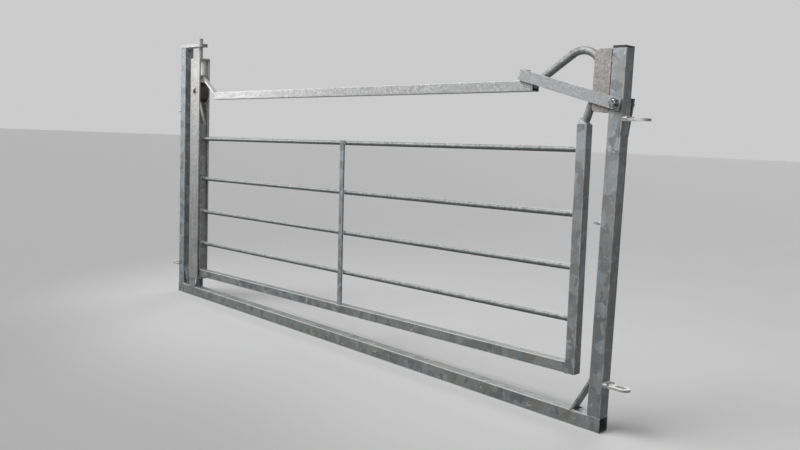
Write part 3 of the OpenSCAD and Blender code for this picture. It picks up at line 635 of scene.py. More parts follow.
class Beads:
    """Weld paths of one body, each a run of points and a bead radius."""

    def __init__(self, place=LEVEL):
        self.place = place
        self.points = []
        self.edges = []
        self.radii = []

    def path(self, points, radius, closed=False):
        """A bead through a run of points."""
        first = len(self.points)
        self.points += [self.place @ Vector(p) for p in points]
        self.radii += [radius] * len(points)
        self.edges += [(first + i, first + i + 1) for i in range(len(points) - 1)]
        if closed:
            self.edges.append((first + len(points) - 1, first))

    def along(self, xs, y, z, radius, gap=0.0):
        """A straight bead along the gate, a gap short at both ends."""
        self.path([(xs[0] + gap, y, z), (xs[1] - gap, y, z)], radius)

    def across(self, x, ys, z, radius, gap=0.0):
        """A straight bead from front to back, a gap short at both ends."""
        self.path([(x, ys[0] + gap, z), (x, ys[1] - gap, z)], radius)

    def upright(self, x, y, zs, radius, gap=0.0):
        """A straight bead between two heights, a gap short at both ends."""
        self.path([(x, y, zs[0] + gap), (x, y, zs[1] - gap)], radius)

    def ring(self, centre, radius, across, up, bead, start=0.0, end=FULL_TURN):
        """A round path, whole or part, about a centre."""
        whole = end - start == FULL_TURN
        count = RING_STEPS if whole else RING_STEPS + 1
        across, up = Vector(across), Vector(up)
        turns = [start + (end - start) * i / RING_STEPS for i in range(count)]
        spots = [Vector(centre) + radius * (math.cos(t) * across + math.sin(t) * up) for t in turns]
        self.path(spots, bead, closed=whole)

    def mesh(self, name):
        """The paths as bare edges, with the bead radius on each point."""
        data = bpy.data.meshes.new(name)
        data.from_pydata(self.points, self.edges, [])
        width = data.attributes.new("bead", "FLOAT", "POINT")
        width.data.foreach_set("value", self.radii)
        return data


def bead_tree():
    """Geometry nodes: rippled, lumpy beads along every edge path."""
    tree = bpy.data.node_groups.new("weld_beads", "GeometryNodeTree")
    face = tree.interface
    face.new_socket("Geometry", in_out="OUTPUT", socket_type="NodeSocketGeometry")
    for label, kind in (
        ("Paths", "Geometry"), ("Step", "Float"), ("Ripple", "Float"), ("Ripple depth", "Float"),
        ("Lump", "Float"), ("Lump depth", "Float"), ("Seed", "Int"), ("Sides", "Int"),
        ("Material", "Material"),
    ):
        face.new_socket(label, in_out="INPUT", socket_type="NodeSocket" + kind)

    def add(kind, inputs=None, **settings):
        return add_node(tree, kind, inputs, **settings)

    def link(start, end):
        tree.links.new(start, end)

    def calc(kind, a, b):
        return add_math(tree, kind, a, b)

    given = add("NodeGroupInput").outputs
    to_curve = add("GeometryNodeMeshToCurve")
    link(given["Paths"], to_curve.inputs["Mesh"])
    rings = add("GeometryNodeResampleCurve", mode="LENGTH")
    link(to_curve.outputs["Curve"], rings.inputs["Curve"])
    link(given["Step"], rings.inputs["Length"])

    along = add("GeometryNodeSplineParameter").outputs["Length"]
    wave = calc("SINE", calc("MULTIPLY", calc("DIVIDE", along, given["Ripple"]), math.pi), 0.0)
    scallop = calc("MULTIPLY", calc("ABSOLUTE", wave, 0.0), given["Ripple depth"])
    spot = add("GeometryNodeInputPosition").outputs["Position"]
    uneven = add("ShaderNodeTexNoise", {"Detail": 3.0, "Roughness": 0.6}, noise_dimensions="4D")
    link(spot, uneven.inputs["Vector"])
    link(given["Seed"], uneven.inputs["W"])
    link(calc("DIVIDE", 1.0, given["Lump"]), uneven.inputs["Scale"])
    both_ways = calc("MULTIPLY", given["Lump depth"], 2.0)
    swell = calc("MULTIPLY", calc("SUBTRACT", uneven.outputs["Fac"], 0.5), both_ways)
    width = add("GeometryNodeInputNamedAttribute", {"Name": "bead"}, data_type="FLOAT")
    least = 0.9
    factor = calc("ADD", calc("ADD", swell, scallop), least)
    radius = calc("MULTIPLY", width.outputs["Attribute"], factor)
    sized = add("GeometryNodeSetCurveRadius")
    link(rings.outputs["Curve"], sized.inputs["Curve"])
    link(radius, sized.inputs["Radius"])

    profile = add("GeometryNodeCurvePrimitiveCircle", {"Radius": 1.0}, mode="RADIUS")
    link(given["Sides"], profile.inputs["Resolution"])
    swept = add("GeometryNodeCurveToMesh", {"Fill Caps": True})
    link(sized.outputs["Curve"], swept.inputs["Curve"])
    link(profile.outputs["Curve"], swept.inputs["Profile Curve"])
    if "Scale" in swept.inputs:
        link(radius, swept.inputs["Scale"])
    smooth = add("GeometryNodeSetShadeSmooth")
    link(swept.outputs["Mesh"], smooth.inputs["Geometry"])
    realised = add("GeometryNodeRealizeInstances")
    link(smooth.outputs["Geometry"], realised.inputs["Geometry"])
    painted = add("GeometryNodeSetMaterial")
    link(realised.outputs["Geometry"], painted.inputs["Geometry"])
    link(given["Material"], painted.inputs["Material"])
    out = add("NodeGroupOutput")
    link(painted.outputs["Geometry"], out.inputs["Geometry"])
    return tree


def lay_beads(name, beads, body, make=weld_zinc):
    """Runs the bead tree over one body's paths and keeps the result as a plain mesh."""
    welds = bpy.context.scene.gate_welds
    material = bpy.data.materials.get(make.__name__) or make(bpy.context.scene.gate_zinc)
    tree = bpy.data.node_groups.get("weld_beads") or bead_tree()
    paths = bpy.data.objects.new(name + "_paths", beads.mesh(name + "_paths"))
    bpy.context.scene.collection.objects.link(paths)
    modifier = paths.modifiers.new("beads", "NODES")
    modifier.node_group = tree
    values = {
        "Step": welds.step, "Ripple": welds.ripple, "Ripple depth": welds.ripple_depth,
        "Lump": welds.lump, "Lump depth": welds.lump_depth, "Seed": welds.seed,
        "Sides": BEAD_SIDES, "Material": material,
    }
    for item in tree.interface.items_tree:
        if item.item_type == "SOCKET" and item.in_out == "INPUT" and item.name in values:
            modifier[item.identifier] = values[item.name]
    graph = bpy.context.evaluated_depsgraph_get()
    data = bpy.data.meshes.new_from_object(paths.evaluated_get(graph))
    bpy.data.objects.remove(paths)
    if not data.polygons:
        raise RuntimeError(name + ": the bead tree gave no faces")
    keep(name, data, body)


def keep(name, data, body):
    """Makes a mesh a piece of the gate that rides on a body."""
    data.name = name
    piece = bpy.data.objects.new(name, data)
    bpy.context.scene.collection.objects.link(piece)
    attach(piece, body)


def mesh_of(made, name, material, sharp=math.pi):
    """Turns a bmesh into a mesh: faces outwards and smooth, edges over an angle sharp."""
    bmesh.ops.recalc_face_normals(made, faces=made.faces)
    for edge in made.edges:
        edge.smooth = edge.calc_face_angle(0.0) < sharp
    for face in made.faces:
        face.smooth = True
    data = bpy.data.meshes.new(name)
    made.to_mesh(data)
    made.free()
    data.materials.append(material)
    return data


# ---- operators: finishes

class GATE_OT_frame_finish(bpy.types.Operator):
    """Galvanised finish of the ground frame and its drop arms"""
    bl_idname = "gate.frame_finish"
    bl_label = "Frame finish"

    def execute(self, context):
        zinc = context.scene.gate_zinc
        rail = (zinc.rail_pale, zinc.rail_deep)
        post = (zinc.frame_pale, zinc.frame_deep)
        arm = (zinc.arm_pale, zinc.arm_deep)
        latch = extent("latch_post")[0]
        plate_low, plate_high = extent("guide_plate_front")
        seam_top = (latch.x, plate_low.y, plate_high.z)
        seam_foot = (latch.x, plate_low.y, plate_low.z)
        rusty = [
            stain(seam_top, reach=0.014, over=zinc.rust, amount=0.35, right=-0.014, up=-0.014),
            stain(seam_top, reach=0.010, over=zinc.rust, amount=0.5, right=0.004),
            stain(seam_foot, reach=0.010, over=zinc.rust, amount=0.5, up=0.03),
        ]
        # Painted shade: the frame darker towards the ground round the latch post, where the light falls
        # off
        painted_low_shade = [stain((latch.x, latch.y, 0.0), reach=0.62, over=zinc.rail_deep, amount=0.45)]
        dress_zinc(
            ["bottom_rail"], "frame_zinc_rail", *rail, streaks(x=0.08),
            corner=("Y", "Z"), corner_least=0.6,
        )
        dress_zinc(
            ["hinge_post", "latch_post", "pivot_block"], "frame_zinc_post", *post, streaks(z=0.08),
            corner=("X", "Y"), stains=rusty + painted_low_shade,
        )
        dress_zinc(
            ["hinge_brace", "latch_brace", "bottom_pin", "latch_spacer"], "frame_zinc_bracket",
            *post, streaks(z=0.3), size=0.7,
        )
        dress_zinc(
            ["guide_plate_front", "guide_plate_back"], "frame_zinc_guide",
            zinc.plate_pale, zinc.plate_deep, streaks(z=0.4),
            size=0.2, stains=rusty, fleck=0.26, bloom_level=0.61,
        )
        dress_zinc(["latch_arm"], "frame_zinc_bright", *arm, streaks(x=0.2), size=0.16, fleck=0.26)
        # Painted shade: the back arm's top darkened, as it stands in shade behind the latch post
        shaded_arm_top = [stain(extent("back_arm")[1], reach=0.16, over=zinc.painted_shade, amount=0.85)]
        dress_zinc(
            ["back_arm"], "frame_zinc_back_arm", *arm, streaks(z=0.2),
            size=0.16, fleck=0.26, stains=shaded_arm_top,
        )
        pin = extent("pivot_pin")[1]
        top_low, top_high = extent("pivot_plate")
        plate_end = (top_high.x, (top_low.y + top_high.y) / 2, top_high.z)
        # The plate darker towards its far end beyond the pin, in the seam colour
        dull = [stain(plate_end, reach=top_high.x - pin.x, over=zinc.seam, amount=0.75)]
        dress_zinc(
            ["pivot_plate"], "frame_zinc_plate", zinc.carrier_pale, zinc.arm_deep, streaks(z=0.3),
            size=0.16, fleck=0.2, bloom_level=0.5, stains=dull,
        )
        dress_zinc(
            EYES, "frame_zinc_eye", zinc.eye_pale, zinc.eye_deep, streaks(x=0.3), size=0.3, fleck=0.2,
        )
        return {"FINISHED"}


class GATE_OT_carrier_finish(bpy.types.Operator):
    """Pale galvanised finish of the carrier and its pin, and the axle's steel"""
    bl_idname = "gate.carrier_finish"
    bl_label = "Carrier finish"

    def execute(self, context):
        zinc = context.scene.gate_zinc
        low, high = extent("carrier_flat_back")
        middle = (low.x + high.x) / 2
        beside_axle = (middle, low.y, AXLE.z)
        stains = [
            # Painted light: a pale patch in the weld colour on the back flat's inner face above the
            # roller, where light reaches between the flats; the two patches after it are real rust
            stain(beside_axle, reach=0.060, over=zinc.weld, amount=0.9, right=0.016, up=0.105),
            stain(beside_axle, reach=0.016, over=zinc.rust, amount=0.5, right=0.014, up=0.10),
            stain(beside_axle, reach=0.012, over=zinc.rust, amount=0.5, right=0.020, up=0.125),
            # Painted shade: the carrier darker towards its foot, where the light falls off
            stain((middle, low.y, 0.0), reach=0.75, over=zinc.frame_deep, amount=0.5),
        ]
        dress_zinc(
            [*CARRIER_FLATS, "carrier_top", "carrier_foot", "pivot_pin"], "carrier_zinc",
            zinc.carrier_pale, zinc.carrier_deep, streaks(z=0.08),
            size=0.3, bloom_level=0.6, stains=stains,
        )
        dress(["roller_axle"], dull_steel(context.scene.gate_trim))
        return {"FINISHED"}


class GATE_OT_leaf_finish(bpy.types.Operator):
    """Galvanised finish of the leaf, its ramp, top bar and nose"""
    bl_idname = "gate.leaf_finish"
    bl_label = "Leaf finish"

    def execute(self, context):
        zinc = context.scene.gate_zinc
        rail = (zinc.rail_pale, zinc.rail_deep)
        post = (zinc.frame_pale, zinc.frame_deep)
        bar_low, bar_high = extent("top_bar")
        # Painted light and shade: the top bar paler towards its hinge end, where the soft light falls,
        # and darker towards its latch end
        white = [
            stain((bar_low.x, bar_low.y, AXLE.z), reach=0.42, over=zinc.eye_pale, amount=0.75),
            stain((bar_high.x, bar_low.y, AXLE.z), reach=0.42, over=zinc.nose_pale, amount=0.6),
        ]
        dress_zinc(
            ["leaf_rail"], "leaf_zinc_level", *rail, streaks(x=0.08),
            corner=("Y", "Z"), corner_least=0.6,
        )
        dress_zinc(
            BARS, "leaf_zinc_bars", *rail, streaks(x=0.10),
            size=0.3, bloom_level=0.66, gloss=0.8, ridge=0.72,
        )
        dress_zinc(
            ["left_stile", "right_stile"], "leaf_zinc_upright", *post, streaks(z=0.08),
            corner=("X", "Y"),
        )
        dress_zinc(["mid_strap", "throat_strap"], "leaf_zinc_flats", *post, streaks(z=0.08), size=0.6)
        dress_zinc(
            ["top_bar"], "leaf_zinc_top", zinc.top_bar_pale, zinc.top_bar_deep, streaks(x=0.10, z=0.6),
            corner=("Y", "Z"), bloom_level=0.55, size=0.32, stains=white,
        )
        dress_zinc(
            ["nose_tube"], "leaf_zinc_nose", zinc.nose_pale, zinc.nose_deep, streaks(x=0.4, z=0.6),
            size=0.3, gloss=0.2, ridge=0.16,
        )
        # Painted light: the ramp gets the eyes' pale zinc, paler than the rest of the leaf, so it reads
        # lit where the carrier's front flat shades it
        dress_zinc(
            ["ramp"], "leaf_zinc_ramp", zinc.eye_pale, zinc.eye_deep, streaks(x=0.4, z=0.6),
            size=0.4, bloom_level=0.46,
        )
        return {"FINISHED"}


class GATE_OT_trim_finish(bpy.types.Operator):
    """Nylon roller, plastic cap and plated bolt"""
    bl_idname = "gate.trim_finish"
    bl_label = "Roller, cap and bolt"

    def execute(self, context):
        trim = context.scene.gate_trim
        dress(["roller"], turned_nylon(trim, AXLE))
        dress(["post_cap"], moulded_plastic(trim))
        dress(["latch_bolt", "latch_nut", "latch_washer"], bright_plate(trim))
        return {"FINISHED"}


# ---- operators: welds

def box_seam(beads, seams, low, high, z, welds, full_low, full_high):
    """Welds round the foot or head of an upright box on a level face.

    The front and back seams lie flush and are dressed; each end is a full
    bead where the face runs on, and a dressed one where it does not.
    """
    for y in (low.y + FLUSH_INSET, high.y - FLUSH_INSET):
        seams.along((low.x, high.x), y, z, welds.flush, BOX_GAP)
    for x, full in ((low.x, full_low), (high.x, full_high)):
        if full:
            beads.across(x, (low.y, high.y), z, welds.full, BOX_END_GAP)
        else:
            seams.across(x, (low.y, high.y), z, welds.flush, FLUSH_END_GAP)


def share_of_full(name):
    """Radius of a bead that is a share of the full one."""
    return bpy.context.scene.gate_welds.full * BEAD_SHARES[name]


class GATE_OT_frame_welds(bpy.types.Operator):
    """Weld beads of the ground frame"""
    bl_idname = "gate.frame_welds"
    bl_label = "Frame welds"

    def execute(self, context):
        welds = context.scene.gate_welds
        beads, seams, gaps = Beads(), Beads(), Beads()
        self.posts(beads, seams, welds)
        self.braces(beads, seams, welds)
        self.eyes(beads, welds)
        self.guide_plates(beads, seams, gaps, welds)
        lay_beads("frame_welds", beads, "frame")
        lay_beads("frame_seams", seams, "frame", seam_zinc)
        lay_beads("frame_gaps", gaps, "frame", open_seam)
        return {"FINISHED"}

    def posts(self, beads, seams, welds):
        """The feet of the posts and the block on the rail, and the head of the hinge post."""
        rail_top = extent("bottom_rail")[1].z
        for name, full_low, full_high in (
            ("hinge_post", False, True), ("latch_post", True, False), ("pivot_block", True, True),
        ):
            box_seam(beads, seams, *extent(name), rail_top, welds, full_low, full_high)
        low, high = extent("hinge_post")
        box_seam(beads, seams, low, high, high.z, welds, False, True)

    def braces(self, beads, seams, welds):
        """Each brace on its post and on the rail."""
        rail_top = extent("bottom_rail")[1].z
        for name, side in (("hinge_brace", 1), ("latch_brace", -1)):
            low, high = extent(name)
            wall, toe = (low.x, high.x) if side > 0 else (high.x, low.x)
            for y in (low.y, high.y):
                drop = (high.z - TOP_SINK, high.z - BRACE_SEAM)
                seams.upright(wall, y, drop, share_of_full("brace side"))
                run = (toe, toe - side * BRACE_SEAM)
                seams.along(run, y, rail_top, share_of_full("brace side"))
            seams.across(wall, (low.y, high.y), high.z, welds.flush)
            beads.across(toe, (low.y, high.y), rail_top, share_of_full("brace toe"))

    def eyes(self, beads, welds):
        """Thick beads over and beside each link eye, and a plain one under it."""
        for name in EYES:
            low, high = extent(name)
            side = 1 if name.startswith("eye_hinge") else -1
            wall = high.x if side > 0 else low.x
            beads.across(wall, (low.y, high.y), high.z, share_of_full("eye top"), EYE_GAP)
            for y in (low.y + EYE_INSET, high.y - EYE_INSET):
                end = (wall - side * EYE_SEAM, y, high.z - TOP_SINK)
                beads.path([(wall, y, high.z), end], share_of_full("eye side"))
            beads.across(wall, (low.y, high.y), low.z, welds.full, EYE_GAP)

    def guide_plates(self, beads, seams, gaps, welds):
        """Each plate is tacked to the post outside, along an open seam, and welded inside."""
        wall = extent("latch_post")[0].x
        for name, side in (("guide_plate_front", -1), ("guide_plate_back", 1)):
            low, high = extent(name)
            outer, inner = (low.y, high.y) if side < 0 else (high.y, low.y)
            tall = high.z - low.z
            gaps.upright(wall, outer, (low.z, high.z), welds.flush * GAP_SHARE, PLATE_GAP)
            for start, run in GUIDE_TACKS:
                z = low.z + tall * start
                seams.upright(wall, outer, (z, z + tall * run), welds.flush * TACK_SHARE)
            beads.upright(wall, inner, (low.z, high.z), welds.full, PLATE_GAP)


class GATE_OT_carrier_welds(bpy.types.Operator):
    """Weld beads of the carrier, its pin and its axle"""
    bl_idname = "gate.carrier_welds"
    bl_label = "Carrier welds"

    def execute(self, context):
        welds = context.scene.gate_welds
        beads = Beads()
        top_low, top_high = extent("carrier_top")
        foot_top = extent("carrier_foot")[1].z
        sides = (top_low.x, top_high.x)
        for y, inwards in ((top_low.y, 1), (top_high.y, -1)):
            beads.along(sides, y, top_high.z, share_of_full("carrier top"), PLATE_GAP)
            for z in (top_low.z, foot_top):
                beads.along(sides, y + inwards * FLAT_INSET, z, welds.full, PLATE_GAP)
        pin_low, pin_high = extent("pivot_pin")
        pin_middle = (pin_low + pin_high) / 2
        pin_foot = (pin_middle.x, pin_middle.y, top_high.z)
        beads.ring(pin_foot, (pin_high.x - pin_low.x) / 2, (1, 0, 0), (0, 1, 0), welds.full)
        for face, _ in carrier_faces():
            self.axle_end(beads, (AXLE.x, face, AXLE.z), welds)
        lay_beads("carrier_welds", beads, "carrier")
        return {"FINISHED"}

    def axle_end(self, beads, centre, welds):
        """A thin ring round the axle, and a thick dab of weld over it."""
        radius = axle_radius()
        dab_ends = (math.radians(70), math.radians(150))
        beads.ring(centre, radius + AXLE_RING, (1, 0, 0), (0, 0, 1), share_of_full("axle"))
        beads.ring(centre, radius + AXLE_DAB, (1, 0, 0), (0, 0, 1), welds.dab, *dab_ends)


def carrier_faces():
    """The outer faces of the carrier's flats, and the way that each one looks."""
    front, back = CARRIER_FLATS
    return (extent(front)[0].y, -1), (extent(back)[1].y, 1)


def axle_radius():
    """Radius of the axle, whose ends lie in the carrier's flats."""
    low, high = extent("roller_axle")
    return (high.x - low.x) / 2


class GATE_OT_axle_ends(bpy.types.Operator):
    """Turned stubs of the axle, standing proud of the carrier's flats"""
    bl_idname = "gate.axle_ends"
    bl_label = "Axle ends"

    def execute(self, context):
        made = bmesh.new()
        for face, side in carrier_faces():
            self.stub(made, face, side, context.scene.gate_trim.axle_stand)
        steel = bpy.data.materials["axle_steel"]
        keep("axle_ends", mesh_of(made, "axle_ends", steel, STUB_SHARP), "carrier")
        return {"FINISHED"}

    def stub(self, made, face, side, stand):
        """A bevelled stub with a shallow turned dish in its end."""
        radius = axle_radius() - STUB_SLIP
        bevel, dish = stand * 0.14, radius * 0.45
        slope, bottom = stand - bevel * 0.9, stand - bevel * 1.1
        profile = [
            (radius, -STUB_SINK), (radius, stand - bevel), (radius - bevel, stand),
            (dish, stand), (dish * 0.6, slope), (0.0, bottom),
        ]
        rows = []
        for r, out in profile:
            turns = [FULL_TURN * i / STUB_SIDES for i in range(STUB_SIDES)] if r else [0.0]
            rows.append([
                made.verts.new((AXLE.x + r * math.cos(t), face + side * out, AXLE.z + r * math.sin(t)))
                for t in turns
            ])
        for inner, outer in zip(rows, rows[1:]):
            for i in range(STUB_SIDES):
                j = (i + 1) % STUB_SIDES
                tip = outer if len(outer) == 1 else (outer[j], outer[i])
                made.faces.new((inner[i], inner[j], *tip))
        made.faces.new(rows[0])


class GATE_OT_leaf_welds(bpy.types.Operator):
    """Weld beads of the leaf"""
    bl_idname = "gate.leaf_welds"
    bl_label = "Leaf welds"

    def execute(self, context):
        welds = context.scene.gate_welds
        beads, seams = Beads(LEAF), Beads(LEAF)
        self.stiles(beads, seams, welds)
        self.bars_and_strap(beads, welds)
        self.ramp(beads)
        lay_beads("leaf_welds", beads, "gate")
        lay_beads("leaf_seams", seams, "gate", seam_zinc)
        return {"FINISHED"}

    def stiles(self, beads, seams, welds):
        """The foot of the hinge side stile on the rail, and the rail's end on the latch side one."""
        rail_low, rail_high = extent("leaf_rail", LEAF)
        box_seam(beads, seams, *extent("left_stile", LEAF), rail_high.z, welds, False, True)
        wall = extent("right_stile", LEAF)[0].x
        for z in (rail_low.z, rail_high.z):
            beads.across(wall, (rail_low.y, rail_high.y), z, welds.full, BOX_GAP)
        for y in (rail_low.y + FLUSH_INSET, rail_high.y - FLUSH_INSET):
            seams.upright(wall, y, (rail_low.z, rail_high.z), welds.flush, BOX_GAP)

    def bars_and_strap(self, beads, welds):
        """The bars between the stiles, and the strap on the bars and on the rail."""
        rail_top = extent("leaf_rail", LEAF)[1].z
        strap_low, strap_high = extent("mid_strap", LEAF)
        for name in BARS:
            low, high = extent(name, LEAF)
            middle = (low.z + high.z) / 2
            for x in (low.x, high.x):
                radius = (high.z - low.z) / 2
                beads.ring((x, 0, middle), radius, (0, 1, 0), (0, 0, 1), share_of_full("bar"))
            for x in (strap_low.x, strap_high.x):
                bite = (middle - BAR_SEAM / 2, middle + BAR_SEAM / 2)
                beads.upright(x, strap_high.y, bite, welds.full)
        for x in (strap_low.x, strap_high.x):
            foot = (strap_low.y + STRAP_GAP, strap_high.y)
            beads.across(x, foot, rail_top, share_of_full("strap"))
        beads.along((strap_low.x, strap_high.x), strap_high.y, rail_top, share_of_full("strap"))

    def ramp(self, beads):
        """The ramp's head on the strap round the roller, and its foot on the top bar's end."""
        low, high = extent("ramp", LEAF)
        throat = extent("throat_strap", LEAF)[1].x
        wall = extent("top_bar", LEAF)[0].x
        foot_top = low.z + RAMP_FOOT
        for y in (low.y, high.y):
            beads.along((low.x, throat), y, high.z, share_of_full("ramp top"))
        for z in (low.z, foot_top):
            beads.across(wall, (low.y, high.y), z, share_of_full("ramp end"))
        for y in (low.y, high.y):
            beads.upright(wall, y, (low.z, foot_top), share_of_full("ramp end side"))


class GATE_OT_nose_pool(bpy.types.Operator):
    """Sloping pool of zinc and weld round the foot of the nose tube"""
    bl_idname = "gate.nose_pool"
    bl_label = "Nose foot pool"

    def execute(self, context):
        zinc = context.scene.gate_zinc
        made = bmesh.new()
        rows = [[made.verts.new(LEAF @ spot) for spot in ring] for ring in self.rings(context)]
        for lower, upper in zip(rows, rows[1:]):
            for i in range(POOL_STEPS):
                j = (i + 1) % POOL_STEPS
                made.faces.new((lower[i], lower[j], upper[j], upper[i]))
        made.faces.new(rows[0][::-1])
        made.faces.new(rows[-1])
        material = hot_dip_zinc(
            "pool_zinc", zinc.nose_pale, zinc.nose_deep, zinc, streaks(z=0.3),
            bloom_level=0.53, size=0.4, fleck=0.2,
        )
        keep("nose_pool", mesh_of(made, "nose_pool", material), "gate")
        return {"FINISHED"}

    def rings(self, context):
        """Rings of points from the pool's border on the stile up to the tube, in the leaf's frame."""
        welds = context.scene.gate_welds
        low, high = extent("right_stile", LEAF)
        centre = (low.x + high.x) / 2
        half = (high.x - low.x) / 2 - POOL_INSET
        foot, reach = self.tube_foot()
        half_wide, half_deep = reach - POOL_OVERLAP, reach * TUBE_SQUASH - POOL_OVERLAP
        lean = -math.tan(welds.pool_lean)
        rings = []
        for level in range(POOL_LEVELS + 1):
            risen = level / POOL_LEVELS
            ring = []
            for i in range(POOL_STEPS):
                turn = FULL_TURN * i / POOL_STEPS
                c, s = math.cos(turn), math.sin(turn)
                border = min(half / max(abs(c), abs(s)), half * POOL_CORNER)
                outer = Vector((centre + border * c, border * s, high.z))
                inner = Vector((foot + half_wide * c, half_deep * s, high.z))
                spot = inner.lerp(outer, 1 - risen)
                height = self.rise(welds, c, s) * risen
                spot.x += height * lean * risen
                spot.z = high.z + height
                if 0 < level < POOL_LEVELS:
                    wobble = POOL_WOBBLE * noise.noise(spot * WOBBLES_PER_METRE)
                    spot += Vector((c, s, WOBBLE_UPWARDS)) * wobble
                ring.append(spot)
            rings.append(ring)
        return rings

    def rise(self, welds, c, s):
        """Height of the pool against the tube: lumpy, and lower on the latch side."""
        lumps = noise.noise(Vector((c * POOL_LUMPS, s * POOL_LUMPS, POOL_LUMPS_SEED)))
        level = welds.pool_height * (1 - POOL_LOPSIDED * (1 + c))
        return level * (1 + POOL_UNEVEN * (lumps - 0.5))

    def tube_foot(self):
        """Middle and reach of the nose tube where it leaves the stile."""
        points = points_of("nose_tube", LEAF)
        lowest = min(p.z for p in points)
        foot = [p.x for p in points if p.z < lowest + ROUNDING]
        middle = sum(foot) / len(foot)
        return middle, max(foot) - middle


# ---- stage

# Where the suns hang, which their light does not depend on, and what the middle soft box lights
SUN_PLACE = Vector((0.0, 0.0, 3.0))
MIDDLE_X = -0.35
SENSOR_WIDTH = 36.0


def straight_rays(tree):
    """One for rays that show the backdrop: the camera's, and those a gloss or glass passes on."""
    rays = add_node(tree, "ShaderNodeLightPath").outputs
    seen = add_math(tree, "MAXIMUM", rays["Is Camera Ray"], rays["Is Glossy Ray"])
    return add_math(tree, "MAXIMUM", seen, rays["Is Transmission Ray"])


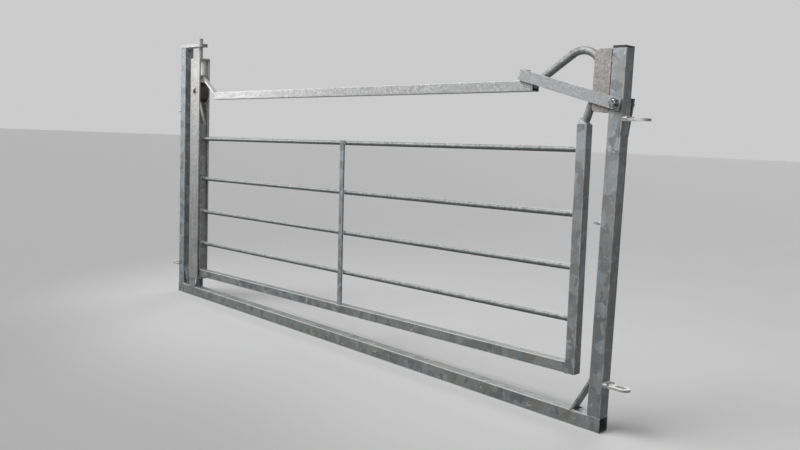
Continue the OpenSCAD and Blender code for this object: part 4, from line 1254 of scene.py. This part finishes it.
class GATE_OT_stage(bpy.types.Operator):
    """Pale floor, soft light and the camera"""
    bl_idname = "gate.stage"
    bl_label = "Stage"

    def execute(self, context):
        scene = context.scene
        stage = scene.gate_stage
        self.floor(scene, stage)
        self.world(scene, stage)
        self.lights(scene, stage)
        self.camera(scene, stage)
        scene.view_settings.view_transform = "Standard"
        return {"FINISHED"}

    def floor(self, scene, stage):
        """A disc that looks pale but throws little light back at the gate."""
        made = Finish("floor")
        grain = made.noise(size=0.6, detail=2.0)
        seen = made.mix(grain, shade(stage.floor, 0.985), stage.floor)
        base = made.mix(straight_rays(made.tree), shade(stage.floor, stage.dim_floor), seen)
        disc = bmesh.new()
        bmesh.ops.create_circle(disc, cap_ends=True, segments=96, radius=stage.floor_reach)
        data = bpy.data.meshes.new("floor")
        disc.to_mesh(data)
        disc.free()
        roughness = made.uneven(size=0.3, smooth=0.85, dull=0.95)
        data.materials.append(made.finish(base, roughness))
        ground = bpy.data.objects.new("floor", data)
        scene.collection.objects.link(ground)

    def world(self, scene, stage):
        """Even light from all round, behind which the backdrop shows."""
        world = bpy.data.worlds.new("studio")
        scene.world = world
        world.use_nodes = True
        tree = world.node_tree
        tree.nodes.clear()
        white = colour((1.0, 1.0, 1.0))
        lit = add_node(tree, "ShaderNodeBackground", {"Color": white, "Strength": stage.sky})
        backdrop = {"Color": colour(stage.backdrop), "Strength": 1.0}
        seen = add_node(tree, "ShaderNodeBackground", backdrop)
        blend = add_node(tree, "ShaderNodeMixShader")
        out = add_node(tree, "ShaderNodeOutputWorld")
        tree.links.new(straight_rays(tree), blend.inputs["Fac"])
        tree.links.new(lit.outputs["Background"], blend.inputs[1])
        tree.links.new(seen.outputs["Background"], blend.inputs[2])
        tree.links.new(blend.outputs["Shader"], out.inputs["Surface"])

    def lights(self, scene, stage):
        """Two suns, and a soft box before each part that is worth a close look."""
        for name in ("key", "fill"):
            sun = bpy.data.lights.new(name, "SUN")
            sun.energy = getattr(stage, name)
            sun.angle = getattr(stage, name + "_spread")
            self.hang(scene, sun, SUN_PLACE, getattr(stage, name + "_from"))
        nose = extent("nose_tube")[1]
        targets = {
            "hinge": AXLE,
            "middle": Vector((MIDDLE_X, 0.0, AXLE.z)),
            "latch": Vector((nose.x, 0.0, nose.z)),
        }
        for name, target in targets.items():
            box = bpy.data.lights.new(name + "_soft", "AREA")
            box.energy = getattr(stage, name + "_soft")
            box.size = stage.soft_size
            box.spread = stage.soft_spread
            away = getattr(stage, name + "_from")
            self.hang(scene, box, target + away, away).visible_camera = False

    def hang(self, scene, lamp, place, backwards):
        """Hangs a lamp so that it shines away from one direction."""
        made = bpy.data.objects.new(lamp.name, lamp)
        scene.collection.objects.link(made)
        made.location = place
        made.rotation_euler = Vector(backwards).to_track_quat("Z", "Y").to_euler()
        return made

    def camera(self, scene, stage):
        """A camera turned by its yaw and pitch, and then rolled about its own view."""
        ahead = Vector((
            -math.sin(stage.yaw) * math.cos(stage.pitch),
            math.cos(stage.yaw) * math.cos(stage.pitch),
            math.sin(stage.pitch),
        ))
        level = ahead.cross(Vector((0, 0, 1))).normalized()
        upright = level.cross(ahead)
        right = math.cos(stage.roll) * level + math.sin(stage.roll) * upright
        up = -math.sin(stage.roll) * level + math.cos(stage.roll) * upright
        data = bpy.data.cameras.new("camera")
        data.lens = stage.lens
        data.sensor_width = SENSOR_WIDTH
        made = bpy.data.objects.new("camera", data)
        scene.collection.objects.link(made)
        turn = Matrix((right, up, -ahead)).transposed().to_4x4()
        made.matrix_world = Matrix.Translation(Vector(stage.eye)) @ turn
        scene.camera = made


class GATE_PT_panel(bpy.types.Panel):
    """Lists the steps that finish the gate"""
    bl_label = "Swing sliding gate"
    bl_idname = "GATE_PT_panel"
    bl_space_type = "VIEW_3D"
    bl_region_type = "UI"
    bl_category = "Gate"

    def draw(self, context):
        layout = self.layout
        for step in STEPS:
            layout.operator(step.bl_idname)
        for group in GROUPS:
            box = layout.box()
            settings = getattr(context.scene, group)
            for name in settings.bl_rna.properties.keys():
                if name not in ("rna_type", "name"):
                    box.prop(settings, name)


STEPS = (
    GATE_OT_stage,
    GATE_OT_frame_finish,
    GATE_OT_carrier_finish,
    GATE_OT_leaf_finish,
    GATE_OT_trim_finish,
    GATE_OT_frame_welds,
    GATE_OT_carrier_welds,
    GATE_OT_axle_ends,
    GATE_OT_leaf_welds,
    GATE_OT_nose_pool,
)
GROUPS = {
    "gate_zinc": GateZinc,
    "gate_trim": GateTrim,
    "gate_welds": GateWelds,
    "gate_stage": GateStage,
}


def register():
    for cls in (*GROUPS.values(), *STEPS, GATE_PT_panel):
        bpy.utils.register_class(cls)
    for name, group in GROUPS.items():
        setattr(bpy.types.Scene, name, PointerProperty(type=group))


def unregister():
    for name in GROUPS:
        delattr(bpy.types.Scene, name)
    for cls in (GATE_PT_panel, *reversed(STEPS), *GROUPS.values()):
        bpy.utils.unregister_class(cls)


def main():
    register()
    for step in STEPS:
        space, name = step.bl_idname.split(".")
        getattr(getattr(bpy.ops, space), name)()


if __name__ == "__main__":
    main()
